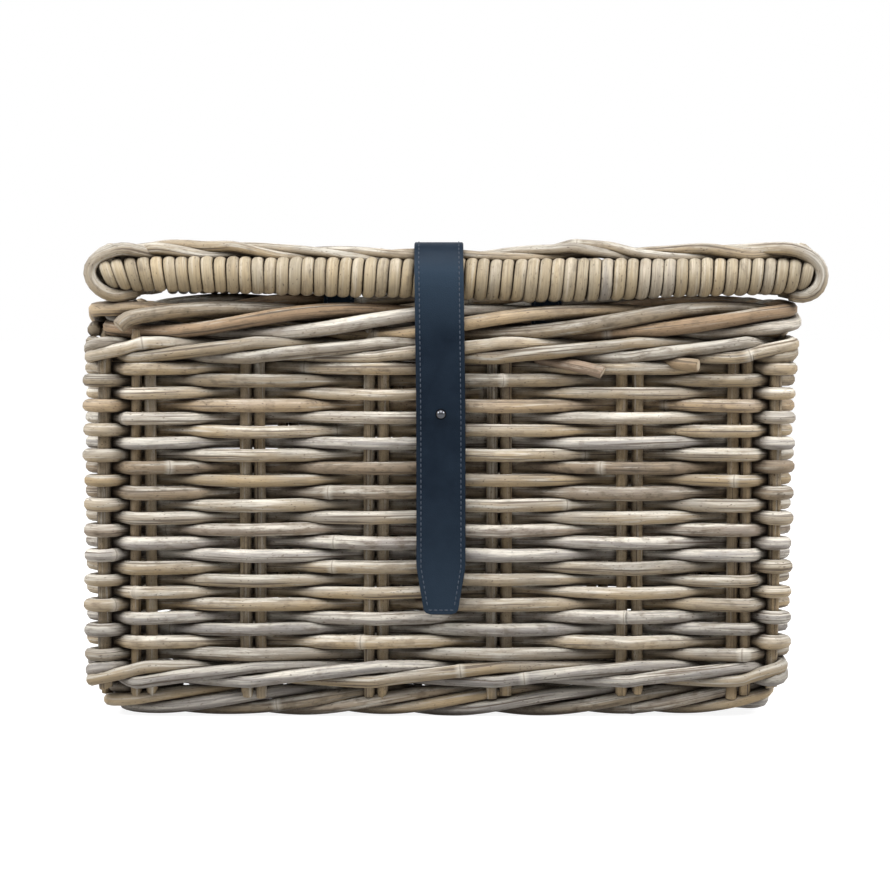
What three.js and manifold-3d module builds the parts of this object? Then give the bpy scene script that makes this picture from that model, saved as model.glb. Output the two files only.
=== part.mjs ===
// A lidded bicycle basket of round rattan, closed by a leather strap over a ball stud.
// Millimetres, +Z up. The front faces -Y, and the lid turns on its own rod along the back.
// The origin is the middle of the footprint of the whole basket, on the surface it stands on.
import * as THREE from 'three';
import Module from 'manifold-3d';
import { mergeVertices } from 'three/addons/utils/BufferGeometryUtils.js';

const wasm = await Module();
wasm.setup();

// Clearances
const seatGap = 0.3; // between pieces that touch
const rowGap = 0.6; // between two rows of weaving
const crossingGap = 1.2; // between two wale rods where they cross

// Plan of the wall, on the centre line of its stakes
const wallHalfWidth = 215.5;
const wallHalfDepth = 155.5;
const cornerPostInset = 1.2;
const cornerToPair = 27.2;
const frontPairs = 6;
const frontDrift = [-1.3, -7, -4.4, -1.9, 5.7, 0]; // of the front's pairs from even places, as woven by hand
const sidePairs = 4;
const postTurn = 58; // degrees each way that a rod follows a corner post round its outside

// Rods
const stakeRadius = 4;
const pairSpacing = 8.5; // between the two rods of a stake pair
const pairLobe = 110; // degrees each way that a pair's outline follows its round rods
const pairWaist = 0.6; // share of the radius that is left in the groove between the two rods
const weaverWidth = 7;
const rowPitch = 7.05;
const turnsPerWeaver = 12;
const waleRadius = 3.15;

// Twisted borders
const footRadius = 9;
const footFlat = 2.2; // flattened below, where the basket stands
const footStrands = 4;
const footTurns = 7;
const footStep = 24; // between two sections
const footInset = 12;
const footDepthInset = 5.5;
const footCornerRadius = 28;
const rimRadius = 9.8;
const rimOutset = 1.5;
const rimCornerRadius = 14;
const rimStrands = 5;
const rimTurns = 4;
const rimStep = 34;
const lobeDepth = 0.2; // share of a border's radius that lies between two of its strands

// Base
const baseThickness = 11.5;
const baseCornerRadius = 20;
const baseSticks = 3;
const baseRibs = 17;

// Lid
const lidShift = 8; // the lid sits this far to the right of the basket
const lidOverhang = 19.8; // past the wall's stakes on each side
const barRadius = 9.7;
const wrapThickness = 3.3;
const wrapRibs = 20;
const sideBarLift = 4;
const loopThickness = 7.3;
const loopRibs = 9;
const backRodRadius = 8;
const lidPlaneLift = 6.8; // the lid's stakes lie this far above the middle of the front bar
const lidStakePairs = 4;
const lidStakeMargin = 18;
const lidStakeRadius = 3.2;
const lidPairSpacing = 6.8;
const lidRows = 39;
const lidRodHeight = 7;
const lidRodOverlap = 0.5; // rows of the lid press into each other this far where they cross
const loopOpening = 105; // degrees that the side loops reach round from the outside, up and down
const lidBorderRadius = 3.6;
const lidBorderSetback = 3.5;
const lidBorderSteps = 24;
const lidBorderTurns = 2;
const ribDepth = 1.2;

// Leather and steel
const leather = 2.8;
const strapWidth = 31;
const strapShift = -1; // from the middle of the wall
const strapTipHeight = 65.8;
const strapPointLength = 30;
const strapTipWidth = 22;
const strapTipCorner = 5;
const bendStep = 20; // degrees between the strap's folds round the bar
const bendEnd = 58; // degrees above level where the strap leaves the bar
const borderFolds = [130, 90, 55]; // degrees at which it is folded over the lid's front border
const rivetRow = 7; // the rivets pass behind this row of the lid
const rivetSpacing = 17;
const rivetInset = 9;
const rivetHeadRadius = 4;
const rivetShankRadius = 1.7;
const rivetHeadHeight = 1.6;
const rivetCrownWidth = 0.7; // share of the head's radius
const rivetCrownBase = 0.8; // share of the head's height
const studRow = 20; // the stud passes the wall above this row
const studBallRadius = 3.5;
const studNeckRadius = 1.8;
const studFlangeRadius = 6;
const studFlangeHeight = 2;
const studShankRadius = 1.5;
const studShankProud = 0.5; // past the nut
const studHoleClearance = 0.35;
const backingWidth = 25;
const backingHeight = 36;
const backingCorner = 6;
const washerRadius = 7;
const washerThickness = 1.5;
const nutRadius = 3.6;
const nutHeight = 3;
const hingeLeather = 2.5;
const hingeWidth = 22;

// Flats of round pieces
const barSides = 10;
const rodSides = 12;
const stickSides = 8;
const holeSides = 12;
const ballSteps = 5;
const lobeSteps = 4;
const cornerSteps = 3;
const loopSteps = 5;
const sideOnly = Infinity; // a plan with no places between its corners

// Sizes that follow
const lidHalfWidth = wallHalfWidth + lidOverhang;
const stakeFlat = pairSpacing / 2 + stakeRadius * 0.45; // half the length a rod lies straight over a pair
const rowHeight = rowPitch - rowGap;
const weaverReach = stakeRadius + weaverWidth / 2 + seatGap;
const waleReach = stakeRadius + waleRadius + seatGap;
const waleStep = 2 * waleRadius + crossingGap; // height between a wale rod's places at two stakes
const waleHalfHeight = waleStep + waleRadius;
const footCentre = footRadius - footFlat;
const footTop = footCentre + footRadius;
const bottomWaleCentre = footTop + seatGap + waleHalfHeight;
const firstRow = bottomWaleCentre + waleHalfHeight + seatGap + rowHeight / 2;
const stakeCount = 2 * frontPairs + 2 * sidePairs + 4;
const weaverStart = frontPairs + sidePairs + 4; // a back pair, where the weavers' ends are out of sight
const lastRow = firstRow + rowPitch * (1 + 2 * turnsPerWeaver) + (2 * rowPitch) / stakeCount;
const topWaleCentre = lastRow + rowHeight / 2 + seatGap + waleHalfHeight;
const hingeSides = 6; // flats of a hinge strap round the rod, and round the rim
const hingeFit = 1 / Math.cos(Math.PI / (2 * hingeSides));
const hingeReach = (rimRadius + seatGap + hingeLeather) * hingeFit;
const rimCentre = topWaleCentre + waleHalfHeight + seatGap + hingeReach;
const stakeTop = rimCentre - rimRadius - seatGap;
const rimTop = rimCentre + rimRadius;
const wrapRadius = barRadius + seatGap + wrapThickness;
const frontBarHeight = rimTop + 2 * seatGap + wrapRadius;
const loopRadius = barRadius + seatGap + loopThickness;
const sideBarHeight = frontBarHeight + sideBarLift;
const sideBarPlace = lidHalfWidth - loopRadius;
const barHalfLength = sideBarPlace - barRadius - seatGap;
const lidPlane = frontBarHeight + lidPlaneLift;
const lidReach = lidStakeRadius + lidRodHeight / 2 + seatGap;
const lidTop = lidPlane + lidReach + lidRodHeight / 2;
const lidFrontEdge = wallHalfDepth - wrapRadius - seatGap;
const lidBackEdge = wallHalfDepth - (backRodRadius + seatGap + hingeLeather) * hingeFit - seatGap;
const lidRowPitch = (lidFrontEdge + lidBackEdge - lidRodOverlap) / lidRows;
const anchorLength = rivetRow * lidRowPitch + rivetInset;
const borderHeight = frontBarHeight + wrapRadius + seatGap + lidBorderRadius;
const borderDepth = wallHalfDepth - lidBorderSetback;
const strapFront = wallHalfDepth + wrapRadius + seatGap + leather;
const strapSide = strapShift - lidShift;
const lidBayHalf = (barHalfLength - lidStakeMargin) / lidStakePairs; // half the way between two of its pairs
const overLidPair = lidPairSpacing / 2 + lidStakeRadius;
const weaveHeight = (x) => (lidReach * x) / (lidBayHalf - overLidPair) + lidRodHeight / 2; // in the middle bay
const strapBed = lidPlane + weaveHeight(Math.abs(strapSide) + strapWidth / 2) + seatGap;
const pairStep = (2 * (wallHalfWidth - cornerToPair)) / (frontPairs - 1);
const hingePlace = pairStep; // midway between the first two pairs on each side of the middle
const frontTurn = (stakeCount - weaverStart + (frontPairs + 1) / 2) / stakeCount;
const studHeight = firstRow + rowPitch * (studRow + 0.5 + 2 * frontTurn);
const loopHalfAngle = THREE.MathUtils.degToRad(loopOpening);

// Colours
const rattan = { color: 0xb5a78f, roughness: 0.75, metalness: 0 };
const darkRattan = { color: 0x9b8d77, roughness: 0.8, metalness: 0 };
const rattanPeel = { color: 0xada18c, roughness: 0.6, metalness: 0 };
const navyLeather = { color: 0x2b3646, roughness: 0.6, metalness: 0 };
const steel = { color: 0xc9ccd0, roughness: 0.2, metalness: 1 };

function toSolid(geometry) {
  const bare = geometry.clone();
  bare.deleteAttribute('normal');
  bare.deleteAttribute('uv');
  const merged = mergeVertices(bare, 1e-4);
  return new wasm.Manifold(new wasm.Mesh({
    numProp: 3,
    vertProperties: new Float32Array(merged.attributes.position.array),
    triVerts: new Uint32Array(merged.index.array),
  }));
}

function toGeometry(solid) {
  const mesh = solid.getMesh();
  const geometry = new THREE.BufferGeometry();
  geometry.setAttribute('position', new THREE.BufferAttribute(new Float32Array(mesh.vertProperties), 3));
  geometry.setIndex(new THREE.BufferAttribute(new Uint32Array(mesh.triVerts), 1));
  return geometry;
}

function cut(geometry, ...tools) {
  return toGeometry(tools.reduce((solid, tool) => solid.subtract(toSolid(tool)), toSolid(geometry)));
}

// A skin through the same outline drawn in each frame, closed into a ring or capped at its ends
function loft(frames, outlineAt, isRing = false) {
  const outlines = frames.map((frame, k) => outlineAt(k));
  const sides = outlines[0].length;
  const positions = [];
  frames.forEach((frame, k) => {
    for (const [a, b] of outlines[k]) {
      const point = frame.origin.clone().addScaledVector(frame.out, a).addScaledVector(frame.up, b);
      positions.push(point.x, point.y, point.z);
    }
  });
  const faces = [];
  const spans = isRing ? frames.length : frames.length - 1;
  for (let k = 0; k < spans; k++) {
    const here = k * sides;
    const there = ((k + 1) % frames.length) * sides;
    for (let j = 0; j < sides; j++) {
      const next = (j + 1) % sides;
      faces.push(here + j, there + j, there + next);
      faces.push(here + j, there + next, here + next);
    }
  }
  if (!isRing) {
    const cap = (k, flip) => {
      const points = outlines[k].map(([a, b]) => new THREE.Vector2(a, b));
      const anticlockwise = !THREE.ShapeUtils.isClockWise(points);
      for (const [a, b, c] of THREE.ShapeUtils.triangulateShape(points, [])) {
        const turned = flip === anticlockwise ? [a, c, b] : [a, b, c];
        faces.push(...turned.map((corner) => k * sides + corner));
      }
    };
    cap(0, false);
    cap(frames.length - 1, true);
  }
  return facingOut(positions, faces);
}

function facingOut(positions, faces) {
  const corner = (i) => new THREE.Vector3().fromArray(positions, 3 * faces[i]);
  let volume = 0;
  for (let i = 0; i < faces.length; i += 3) {
    volume += corner(i).dot(corner(i + 1).cross(corner(i + 2)));
  }
  if (volume < 0) {
    faces.reverse();
  }
  const geometry = new THREE.BufferGeometry();
  geometry.setAttribute('position', new THREE.Float32BufferAttribute(positions, 3));
  geometry.setIndex(faces);
  return geometry;
}

const up = new THREE.Vector3(0, 0, 1);
const flatFrame = (x, y, z, angle) => ({
  origin: new THREE.Vector3(x, y, z),
  out: new THREE.Vector3(Math.cos(angle), Math.sin(angle), 0),
  up,
});

// The stakes, anticlockwise from above, from the front left corner post
function stakePlan() {
  const spread = (count, half) =>
    Array.from({ length: count }, (_, i) => half * ((2 * i) / (count - 1) - 1));
  const across = spread(frontPairs, wallHalfWidth - cornerToPair);
  const along = spread(sidePairs, wallHalfDepth - cornerToPair);
  const postX = wallHalfWidth - cornerPostInset;
  const postY = wallHalfDepth - cornerPostInset;
  const post = (place, sx, sy) => ({
    name: `corner_post_${place}`,
    isPost: true,
    x: sx * postX,
    y: sy * postY,
    angle: Math.atan2(sy, sx),
  });
  const pair = (place, i, x, y, angle) => ({ name: `${place}_stake_pair_${i + 1}`, isPost: false, x, y, angle });
  return [
    post('front_left', -1, -1),
    ...across.map((x, i) => pair('front', i, x + frontDrift[i], -wallHalfDepth, -Math.PI / 2)),
    post('front_right', 1, -1),
    ...along.map((y, i) => pair('right', i, wallHalfWidth, y, 0)),
    post('back_right', 1, 1),
    ...across.map((x, i) => pair('back', i, -x, wallHalfDepth, Math.PI / 2)),
    post('back_left', -1, 1),
    ...along.map((y, i) => pair('left', i, -wallHalfWidth, -y, Math.PI)),
  ];
}
const stakes = stakePlan();

// Where a rod turns as it passes one stake: outside it (side 1) or inside it (side -1)
function passing(stake, side, reach) {
  if (!stake.isPost) {
    return [-stakeFlat, stakeFlat].map((along) => ({
      x: stake.x - Math.sin(stake.angle) * along + Math.cos(stake.angle) * side * reach,
      y: stake.y + Math.cos(stake.angle) * along + Math.sin(stake.angle) * side * reach,
      angle: stake.angle,
    }));
  }
  const cornerTurn = THREE.MathUtils.degToRad(postTurn);
  const turns = side > 0 ? [-cornerTurn, 0, cornerTurn] : [0];
  const distance = side > 0 ? reach / Math.cos(cornerTurn / 2) : -reach;
  return turns.map((turn) => ({
    x: stake.x + distance * Math.cos(stake.angle + turn),
    y: stake.y + distance * Math.sin(stake.angle + turn),
    angle: stake.angle + turn,
  }));
}

// One of the two rods that fill the wall: over one stake, under the next, two rows up in each turn
function wallWeaver(insideParity) {
  const start = weaverStart + insideParity;
  const frames = [];
  for (let k = 0; k <= turnsPerWeaver * stakeCount; k++) {
    const index = (start + k) % stakeCount;
    const side = index % 2 === insideParity ? -1 : 1;
    const z = firstRow + insideParity * rowPitch + (2 * rowPitch * (k + insideParity)) / stakeCount;
    for (const turn of passing(stakes[index], side, weaverReach)) {
      frames.push(flatFrame(turn.x, turn.y, z, turn.angle));
    }
  }
  const half = weaverWidth / 2;
  const outline = [[half, 0], [-half, rowHeight / 2], [-half, -rowHeight / 2]];
  return loft(frames, () => outline);
}

// One of the three rods of a wale: over two stakes while it climbs, then down behind the third
function waleRod(phase, centre) {
  const frames = [];
  for (let k = 0; k < stakeCount; k += 3) {
    const [first, second, behind] = [1, 2, 3].map((step) => stakes[(k + phase + step) % stakeCount]);
    const climb = [...passing(first, 1, waleReach), ...passing(second, 1, waleReach)];
    const lengths = [0];
    for (let i = 1; i < climb.length; i++) {
      lengths.push(lengths[i - 1] + Math.hypot(climb[i].x - climb[i - 1].x, climb[i].y - climb[i - 1].y));
    }
    climb.forEach((turn, i) => {
      const rise = waleStep * ((2 * lengths[i]) / lengths[lengths.length - 1] - 1);
      frames.push(flatFrame(turn.x, turn.y, centre + rise, turn.angle));
    });
    for (const turn of passing(behind, -1, waleReach)) {
      frames.push(flatFrame(turn.x, turn.y, centre, turn.angle));
    }
  }
  const outline = [[waleRadius, 0], [0, waleRadius], [-waleRadius, 0], [0, -waleRadius]];
  return loft(frames, () => outline, true);
}

// Points along part of a circle, with angles in degrees, and its centre moved along the first axis
function arcPoints(radius, from, to, steps, shift = 0) {
  return Array.from({ length: steps + 1 }, (_, i) => {
    const angle = THREE.MathUtils.degToRad(from + ((to - from) * i) / steps);
    return [shift + radius * Math.cos(angle), radius * Math.sin(angle)];
  });
}
const halfTurned = (points) => points.map(([a, b]) => [-a, -b]);

function stakeRod(stake) {
  const lobe = arcPoints(stakeRadius, -pairLobe, pairLobe, lobeSteps, pairSpacing / 2);
  const half = [...lobe, [0, stakeRadius * pairWaist]];
  const outline = stake.isPost
    ? arcPoints(stakeRadius, 0, 360, stickSides).slice(1)
    : [...half, ...halfTurned(half)];
  const shape = new THREE.Shape(outline.map(([x, y]) => new THREE.Vector2(x, y)));
  return new THREE.ExtrudeGeometry(shape, { depth: stakeTop - footTop - seatGap, bevelEnabled: false });
}

// Places round a rectangle with rounded corners, anticlockwise from above
function roundedPlan(halfWidth, halfDepth, radius, step) {
  const places = [];
  const quarter = Math.PI / 2;
  const corners = [[1, -1], [1, 1], [-1, 1], [-1, -1]];
  corners.forEach(([sx, sy], i) => {
    const x = sx * (halfWidth - radius);
    const y = sy * (halfDepth - radius);
    for (let k = 0; k <= cornerSteps; k++) {
      const angle = (i - 1) * quarter + (k * quarter) / cornerSteps;
      places.push({ x: x + radius * Math.cos(angle), y: y + radius * Math.sin(angle), angle });
    }
    const angle = i * quarter;
    const from = places[places.length - 1];
    const side = 2 * ((i % 2 === 0 ? halfDepth : halfWidth) - radius);
    const steps = Math.round(side / step);
    for (let k = 1; k < steps; k++) {
      const along = (side * k) / steps;
      places.push({ x: from.x - Math.sin(angle) * along, y: from.y + Math.cos(angle) * along, angle });
    }
  });
  return places;
}

// A section of twisted strands, as alternating crests and hollows
function strandOutline(strands, radius, twist) {
  return Array.from({ length: 2 * strands }, (_, i) => {
    const angle = twist + (i * Math.PI) / strands;
    const reach = i % 2 === 0 ? radius : radius * (1 - lobeDepth);
    return [reach * Math.cos(angle), reach * Math.sin(angle)];
  });
}

function twistedBorder(plan, centre, radius, strands, turns) {
  const frames = plan.map((place) => flatFrame(place.x, place.y, centre, place.angle));
  const lengths = [0];
  plan.forEach((place, i) => {
    const next = plan[(i + 1) % plan.length];
    lengths.push(lengths[i] + Math.hypot(next.x - place.x, next.y - place.y));
  });
  const whole = lengths[plan.length];
  return loft(frames, (k) => strandOutline(strands, radius, (2 * Math.PI * turns * lengths[k]) / whole), true);
}

const rimBorder = () => twistedBorder(
  roundedPlan(wallHalfWidth + rimOutset, wallHalfDepth + rimOutset, rimCornerRadius, rimStep),
  rimCentre, rimRadius, rimStrands, rimTurns,
);

function footBorder() {
  const plan = roundedPlan(
    wallHalfWidth - footInset, wallHalfDepth - footDepthInset, footCornerRadius, footStep,
  );
  const border = twistedBorder(plan, footCentre, footRadius, footStrands, footTurns);
  const floor = new THREE.BoxGeometry(3 * wallHalfWidth, 3 * wallHalfDepth, 2 * footRadius);
  floor.translate(0, 0, -footRadius);
  return cut(border, floor);
}

// A straight rod along Y with the given outline, drawn in X and Z round its centre
function alongY(outline, length, x, y, z) {
  const frame = (at) => ({ origin: new THREE.Vector3(x, at, z), out: new THREE.Vector3(1, 0, 0), up });
  return loft([frame(y - length / 2), frame(y + length / 2)], () => outline);
}

function alongX(outline, length, x, y, z) {
  const frame = (at) => ({ origin: new THREE.Vector3(at, y, z), out: new THREE.Vector3(0, 1, 0), up });
  return loft([frame(x - length / 2), frame(x + length / 2)], () => outline);
}

const roundOutline = (radius, sides) => Array.from({ length: sides }, (_, i) => {
  const angle = ((2 * i + 1) * Math.PI) / sides;
  return [radius * Math.cos(angle), radius * Math.sin(angle)];
});

// Two of the lid's stakes side by side
function lidPairOutline() {
  const half = arcPoints(lidStakeRadius, -90, 90, lobeSteps, lidPairSpacing / 2);
  return [...half, ...halfTurned(half)];
}
const stickOutline = (grow) => roundOutline(stakeRadius + grow, stickSides);

const evenly = (count, half) => Array.from({ length: count }, (_, i) => half * ((2 * i + 1) / count - 1));
const baseHalfWidth = wallHalfWidth - waleReach - waleRadius - seatGap;
const baseHalfDepth = wallHalfDepth - waleReach - waleRadius - seatGap;
const baseStickPlaces = evenly(baseSticks, baseHalfDepth);
const lidStakePlaces = evenly(lidStakePairs, barHalfLength - lidStakeMargin);
const stickSink = 1;

// The base's panel, ribbed along Y by its weavers, with a groove below for each of its sticks
function baseWeave() {
  const points = [[baseHalfWidth, 0], [-baseHalfWidth, 0]];
  for (let i = 0; i <= 2 * baseRibs; i++) {
    const depth = i % 2 === 0 ? ribDepth : 0;
    points.push([baseHalfWidth * (i / baseRibs - 1), baseThickness - depth]);
  }
  const section = new THREE.Shape(points.map(([x, z]) => new THREE.Vector2(x, z)));
  const panel = new THREE.ExtrudeGeometry(section, { depth: 2 * baseHalfDepth, bevelEnabled: false });
  panel.rotateX(Math.PI / 2);
  panel.translate(0, baseHalfDepth, 0);
  const grooves = baseStickPlaces.map((y) => alongX(stickOutline(seatGap), 3 * baseHalfWidth, 0, y, stickSink));
  const plan = roundedPlan(baseHalfWidth, baseHalfDepth, baseCornerRadius, sideOnly);
  const shape = new THREE.Shape(plan.map(({ x, y }) => new THREE.Vector2(x, y)));
  const outer = new THREE.ExtrudeGeometry(shape, { depth: 2 * baseThickness, bevelEnabled: false });
  outer.translate(0, 0, -baseThickness / 2);
  return toGeometry(toSolid(cut(panel, ...grooves)).intersect(toSolid(outer)));
}

// The lid's panel: rows of rods that pass over one pair of stakes and under the next
function lidWeave() {
  const half = lidRowPitch / 2 + lidRodOverlap / 2;
  const tall = lidRodHeight / 2;
  const outline = [[half, 0], [half / 2, tall], [-half / 2, tall], [-half, 0], [-half / 2, -tall], [half / 2, -tall]];
  const row = (index) => {
    const side = (stake) => ((stake + index) % 2 === 0 ? 1 : -1);
    const y = -lidFrontEdge + lidRodOverlap / 2 + (index + 0.5) * lidRowPitch;
    const frames = [[-barHalfLength, side(-2) / 2]];
    lidStakePlaces.forEach((x, stake) => {
      frames.push([x - overLidPair, side(stake)], [x + overLidPair, side(stake)]);
    });
    frames.push([barHalfLength, side(lidStakePairs) / 2]);
    return loft(frames.map(([x, rise]) => ({
      origin: new THREE.Vector3(x, y, rise * lidReach),
      out: new THREE.Vector3(0, 1, 0),
      up,
    })), () => outline);
  };
  const rows = Array.from({ length: lidRows }, (_, index) => toSolid(row(index)));
  const panel = rows.reduce((joined, next) => joined.add(next));
  const holes = rivetPlaces.map((place) => {
    const hole = new THREE.CylinderGeometry(
      rivetShankRadius + seatGap, rivetShankRadius + seatGap, 4 * (lidTop - lidPlane), holeSides,
    );
    hole.rotateX(Math.PI / 2);
    return hole.translate(place.x, place.y, 0);
  });
  return cut(toGeometry(panel), ...holes);
}

// The flat strips wound round the front bar, as a ribbed sleeve
function frontWrap() {
  const inner = barRadius + seatGap;
  const places = [];
  for (let i = 0; i <= 2 * wrapRibs; i++) {
    const radius = i % 2 === 0 ? wrapRadius - ribDepth : wrapRadius;
    places.push(new THREE.Vector2(radius, barHalfLength * (i / wrapRibs - 1)));
  }
  places.push(new THREE.Vector2(inner, barHalfLength), new THREE.Vector2(inner, -barHalfLength));
  places.push(places[0].clone());
  const sleeve = new THREE.LatheGeometry(places, barSides);
  return sleeve.rotateZ(Math.PI / 2);
}

// The lid's weavers where they turn round a side bar, as a ribbed half sleeve open to the inside
function sideLoops(side) {
  const from = -wallHalfDepth - wrapRadius + ribDepth;
  const to = wallHalfDepth - seatGap;
  const frames = Array.from({ length: 2 * loopRibs + 1 }, (_, k) => ({
    origin: new THREE.Vector3(side * sideBarPlace, from + ((to - from) * k) / (2 * loopRibs), sideBarHeight),
    out: new THREE.Vector3(side, 0, 0),
    up,
  }));
  const innerRadius = (barRadius + seatGap) / Math.cos(loopHalfAngle / (loopSteps - 1));
  return loft(frames, (k) => {
    const outer = k % 2 === 0 ? loopRadius - ribDepth : loopRadius;
    return [
      ...arcPoints(outer, -loopOpening, loopOpening, loopSteps),
      ...arcPoints(innerRadius, loopOpening, -loopOpening, loopSteps - 1),
    ];
  });
}

function lidFrontBorder() {
  const steps = lidBorderSteps;
  const strands = 3;
  const half = sideBarPlace + loopRadius * Math.cos(loopHalfAngle) - seatGap;
  const frames = Array.from({ length: steps + 1 }, (_, k) => ({
    origin: new THREE.Vector3(half * ((2 * k) / steps - 1), -borderDepth, borderHeight),
    out: new THREE.Vector3(0, 1, 0),
    up,
  }));
  return loft(frames, (k) => strandOutline(strands, lidBorderRadius, (2 * Math.PI * lidBorderTurns * k) / steps));
}

const rivetPlaces = [-1, 1].map((side) => ({
  x: strapSide + (side * rivetSpacing) / 2,
  y: -lidFrontEdge + anchorLength - rivetInset,
}));

// A leather band that follows a line of points in Y and Z, as wide along X as given
function band(points, thickness, width, x) {
  const line = points.map(([y, z]) => new THREE.Vector2(y, z));
  const offset = (half) => line.map((point, i) => {
    const before = line[Math.max(i - 1, 0)];
    const after = line[Math.min(i + 1, line.length - 1)];
    const along = after.clone().sub(before).normalize();
    return new THREE.Vector2(point.x - along.y * half, point.y + along.x * half);
  });
  const outline = [...offset(thickness / 2), ...offset(-thickness / 2).reverse()];
  const geometry = new THREE.ExtrudeGeometry(new THREE.Shape(outline), { depth: width, bevelEnabled: false });
  geometry.applyMatrix4(new THREE.Matrix4().makeBasis(
    new THREE.Vector3(0, 1, 0), up, new THREE.Vector3(1, 0, 0),
  ));
  return geometry.translate(x - width / 2, 0, 0);
}

// The strap's upper end: up the front of the bar, over the border and back along the lid
function strapAnchor() {
  const chordFit = 1 / Math.cos(THREE.MathUtils.degToRad(bendStep / 2));
  const radius = (wrapRadius + seatGap + leather / 2) * chordFit;
  const points = [[leather / 2 - strapFront, frontBarHeight + seatGap]];
  for (const degrees of [bendStep, 2 * bendStep, bendEnd]) {
    const angle = THREE.MathUtils.degToRad(degrees);
    points.push([-wallHalfDepth - radius * Math.cos(angle), frontBarHeight + radius * Math.sin(angle)]);
  }
  const over = lidBorderRadius + 2 * seatGap + leather / 2;
  for (const degrees of borderFolds) {
    const angle = THREE.MathUtils.degToRad(degrees);
    points.push([-borderDepth + over * Math.cos(angle), borderHeight + over * Math.sin(angle)]);
  }
  const onLid = strapBed + leather / 2;
  points.push([-lidFrontEdge + leather, onLid], [-lidFrontEdge + anchorLength, onLid]);
  const holes = rivetPlaces.map((place) => {
    const hole = new THREE.CylinderGeometry(
      rivetShankRadius + seatGap, rivetShankRadius + seatGap, 4 * leather, holeSides,
    );
    hole.rotateX(Math.PI / 2);
    return hole.translate(place.x, place.y, onLid);
  });
  return cut(band(points, leather, strapWidth, strapSide), ...holes);
}

// The hanging part of the strap, with its hole for the stud
function strapTail() {
  const half = strapWidth / 2;
  const tip = strapTipWidth / 2;
  const corner = strapTipCorner;
  const top = frontBarHeight - seatGap;
  const shape = new THREE.Shape();
  shape.moveTo(half, top);
  shape.lineTo(-half, top);
  shape.lineTo(-half, strapTipHeight + strapPointLength);
  shape.lineTo(-tip, strapTipHeight + corner);
  shape.lineTo(-tip + corner, strapTipHeight);
  shape.lineTo(tip - corner, strapTipHeight);
  shape.lineTo(tip, strapTipHeight + corner);
  shape.lineTo(half, strapTipHeight + strapPointLength);
  const tail = new THREE.ExtrudeGeometry(shape, { depth: leather, bevelEnabled: false });
  tail.rotateX(Math.PI / 2);
  tail.translate(strapSide, leather - strapFront, 0);
  const hole = new THREE.CylinderGeometry(
    studNeckRadius + studHoleClearance, studNeckRadius + studHoleClearance, 4 * leather, holeSides,
  );
  hole.translate(strapSide, -strapFront + leather / 2, studHeight);
  return cut(tail, hole);
}

function rivet() {
  const underHead = weaveHeight(Math.abs(strapSide) + rivetSpacing / 2 + rivetHeadRadius);
  const shankEnd = lidPlane - underHead - seatGap;
  const headBase = strapBed + leather + seatGap;
  return lathe([
    [0, shankEnd - rivetHeadHeight],
    [rivetHeadRadius, shankEnd - rivetHeadHeight],
    [rivetHeadRadius, shankEnd],
    [rivetShankRadius, shankEnd],
    [rivetShankRadius, headBase],
    [rivetHeadRadius, headBase],
    [rivetHeadRadius * rivetCrownWidth, headBase + rivetHeadHeight * rivetCrownBase],
    [0, headBase + rivetHeadHeight],
  ], barSides).rotateX(Math.PI / 2);
}

const lathe = (points, sides) =>
  new THREE.LatheGeometry(points.map(([r, y]) => new THREE.Vector2(r, y)), sides);

// Distances of the stud's pieces from the stake line, outwards
const [beforeStud, afterStud] = [frontPairs / 2, frontPairs / 2 + 1].map((index) => stakes[index].x);
const crossingReach = (half) => {
  const off = half + Math.abs(strapShift - (beforeStud + afterStud) / 2);
  return (weaverReach * off) / ((afterStud - beforeStud) / 2 - stakeFlat) + weaverWidth / 2 + seatGap;
};
const backingFace = crossingReach(backingWidth / 2);
const flangeFace = backingFace + leather + seatGap;
const nutFace = -crossingReach(washerRadius);
const shankEnd = nutFace - washerThickness - nutHeight - studShankProud;

function closingStud() {
  const ballBase = strapFront - wallHalfDepth + seatGap;
  const ballCentre = ballBase + studBallRadius;
  const points = [[0, shankEnd], [studShankRadius, shankEnd],
    [studShankRadius, flangeFace], [studFlangeRadius, flangeFace],
    [studFlangeRadius, flangeFace + studFlangeHeight], [studNeckRadius, flangeFace + studFlangeHeight]];
  const start = -Math.acos(studNeckRadius / studBallRadius);
  for (let i = 0; i < ballSteps; i++) {
    const angle = start + ((Math.PI / 2 - start) * i) / ballSteps;
    points.push([studBallRadius * Math.cos(angle), ballCentre + studBallRadius * Math.sin(angle)]);
  }
  points.push([0, ballCentre + studBallRadius]);
  return lathe(points, rodSides).rotateX(Math.PI);
}

function studNut() {
  const bore = studShankRadius + seatGap;
  const back = nutFace - washerThickness;
  return lathe([
    [bore, nutFace], [bore, back - nutHeight], [nutRadius, back - nutHeight],
    [nutRadius, back], [washerRadius, back], [washerRadius, nutFace], [bore, nutFace],
  ], rodSides).rotateX(Math.PI);
}

function studBacking() {
  const plan = roundedPlan(backingWidth / 2, backingHeight / 2, backingCorner, sideOnly);
  const shape = new THREE.Shape(plan.map(({ x, y }) => new THREE.Vector2(x, y)));
  const patch = new THREE.ExtrudeGeometry(shape, { depth: leather, bevelEnabled: false });
  patch.rotateX(Math.PI / 2);
  const hole = new THREE.CylinderGeometry(
    studShankRadius + seatGap, studShankRadius + seatGap, 4 * leather, holeSides,
  );
  return cut(patch, hole);
}

// Room for the stud's shank between the two rows of weaving that it passes
function shankRoom() {
  const room = new THREE.CylinderGeometry(
    studShankRadius + seatGap, studShankRadius + seatGap, 8 * weaverWidth, holeSides,
  );
  return room.translate(strapShift, -wallHalfDepth, studHeight);
}

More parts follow.
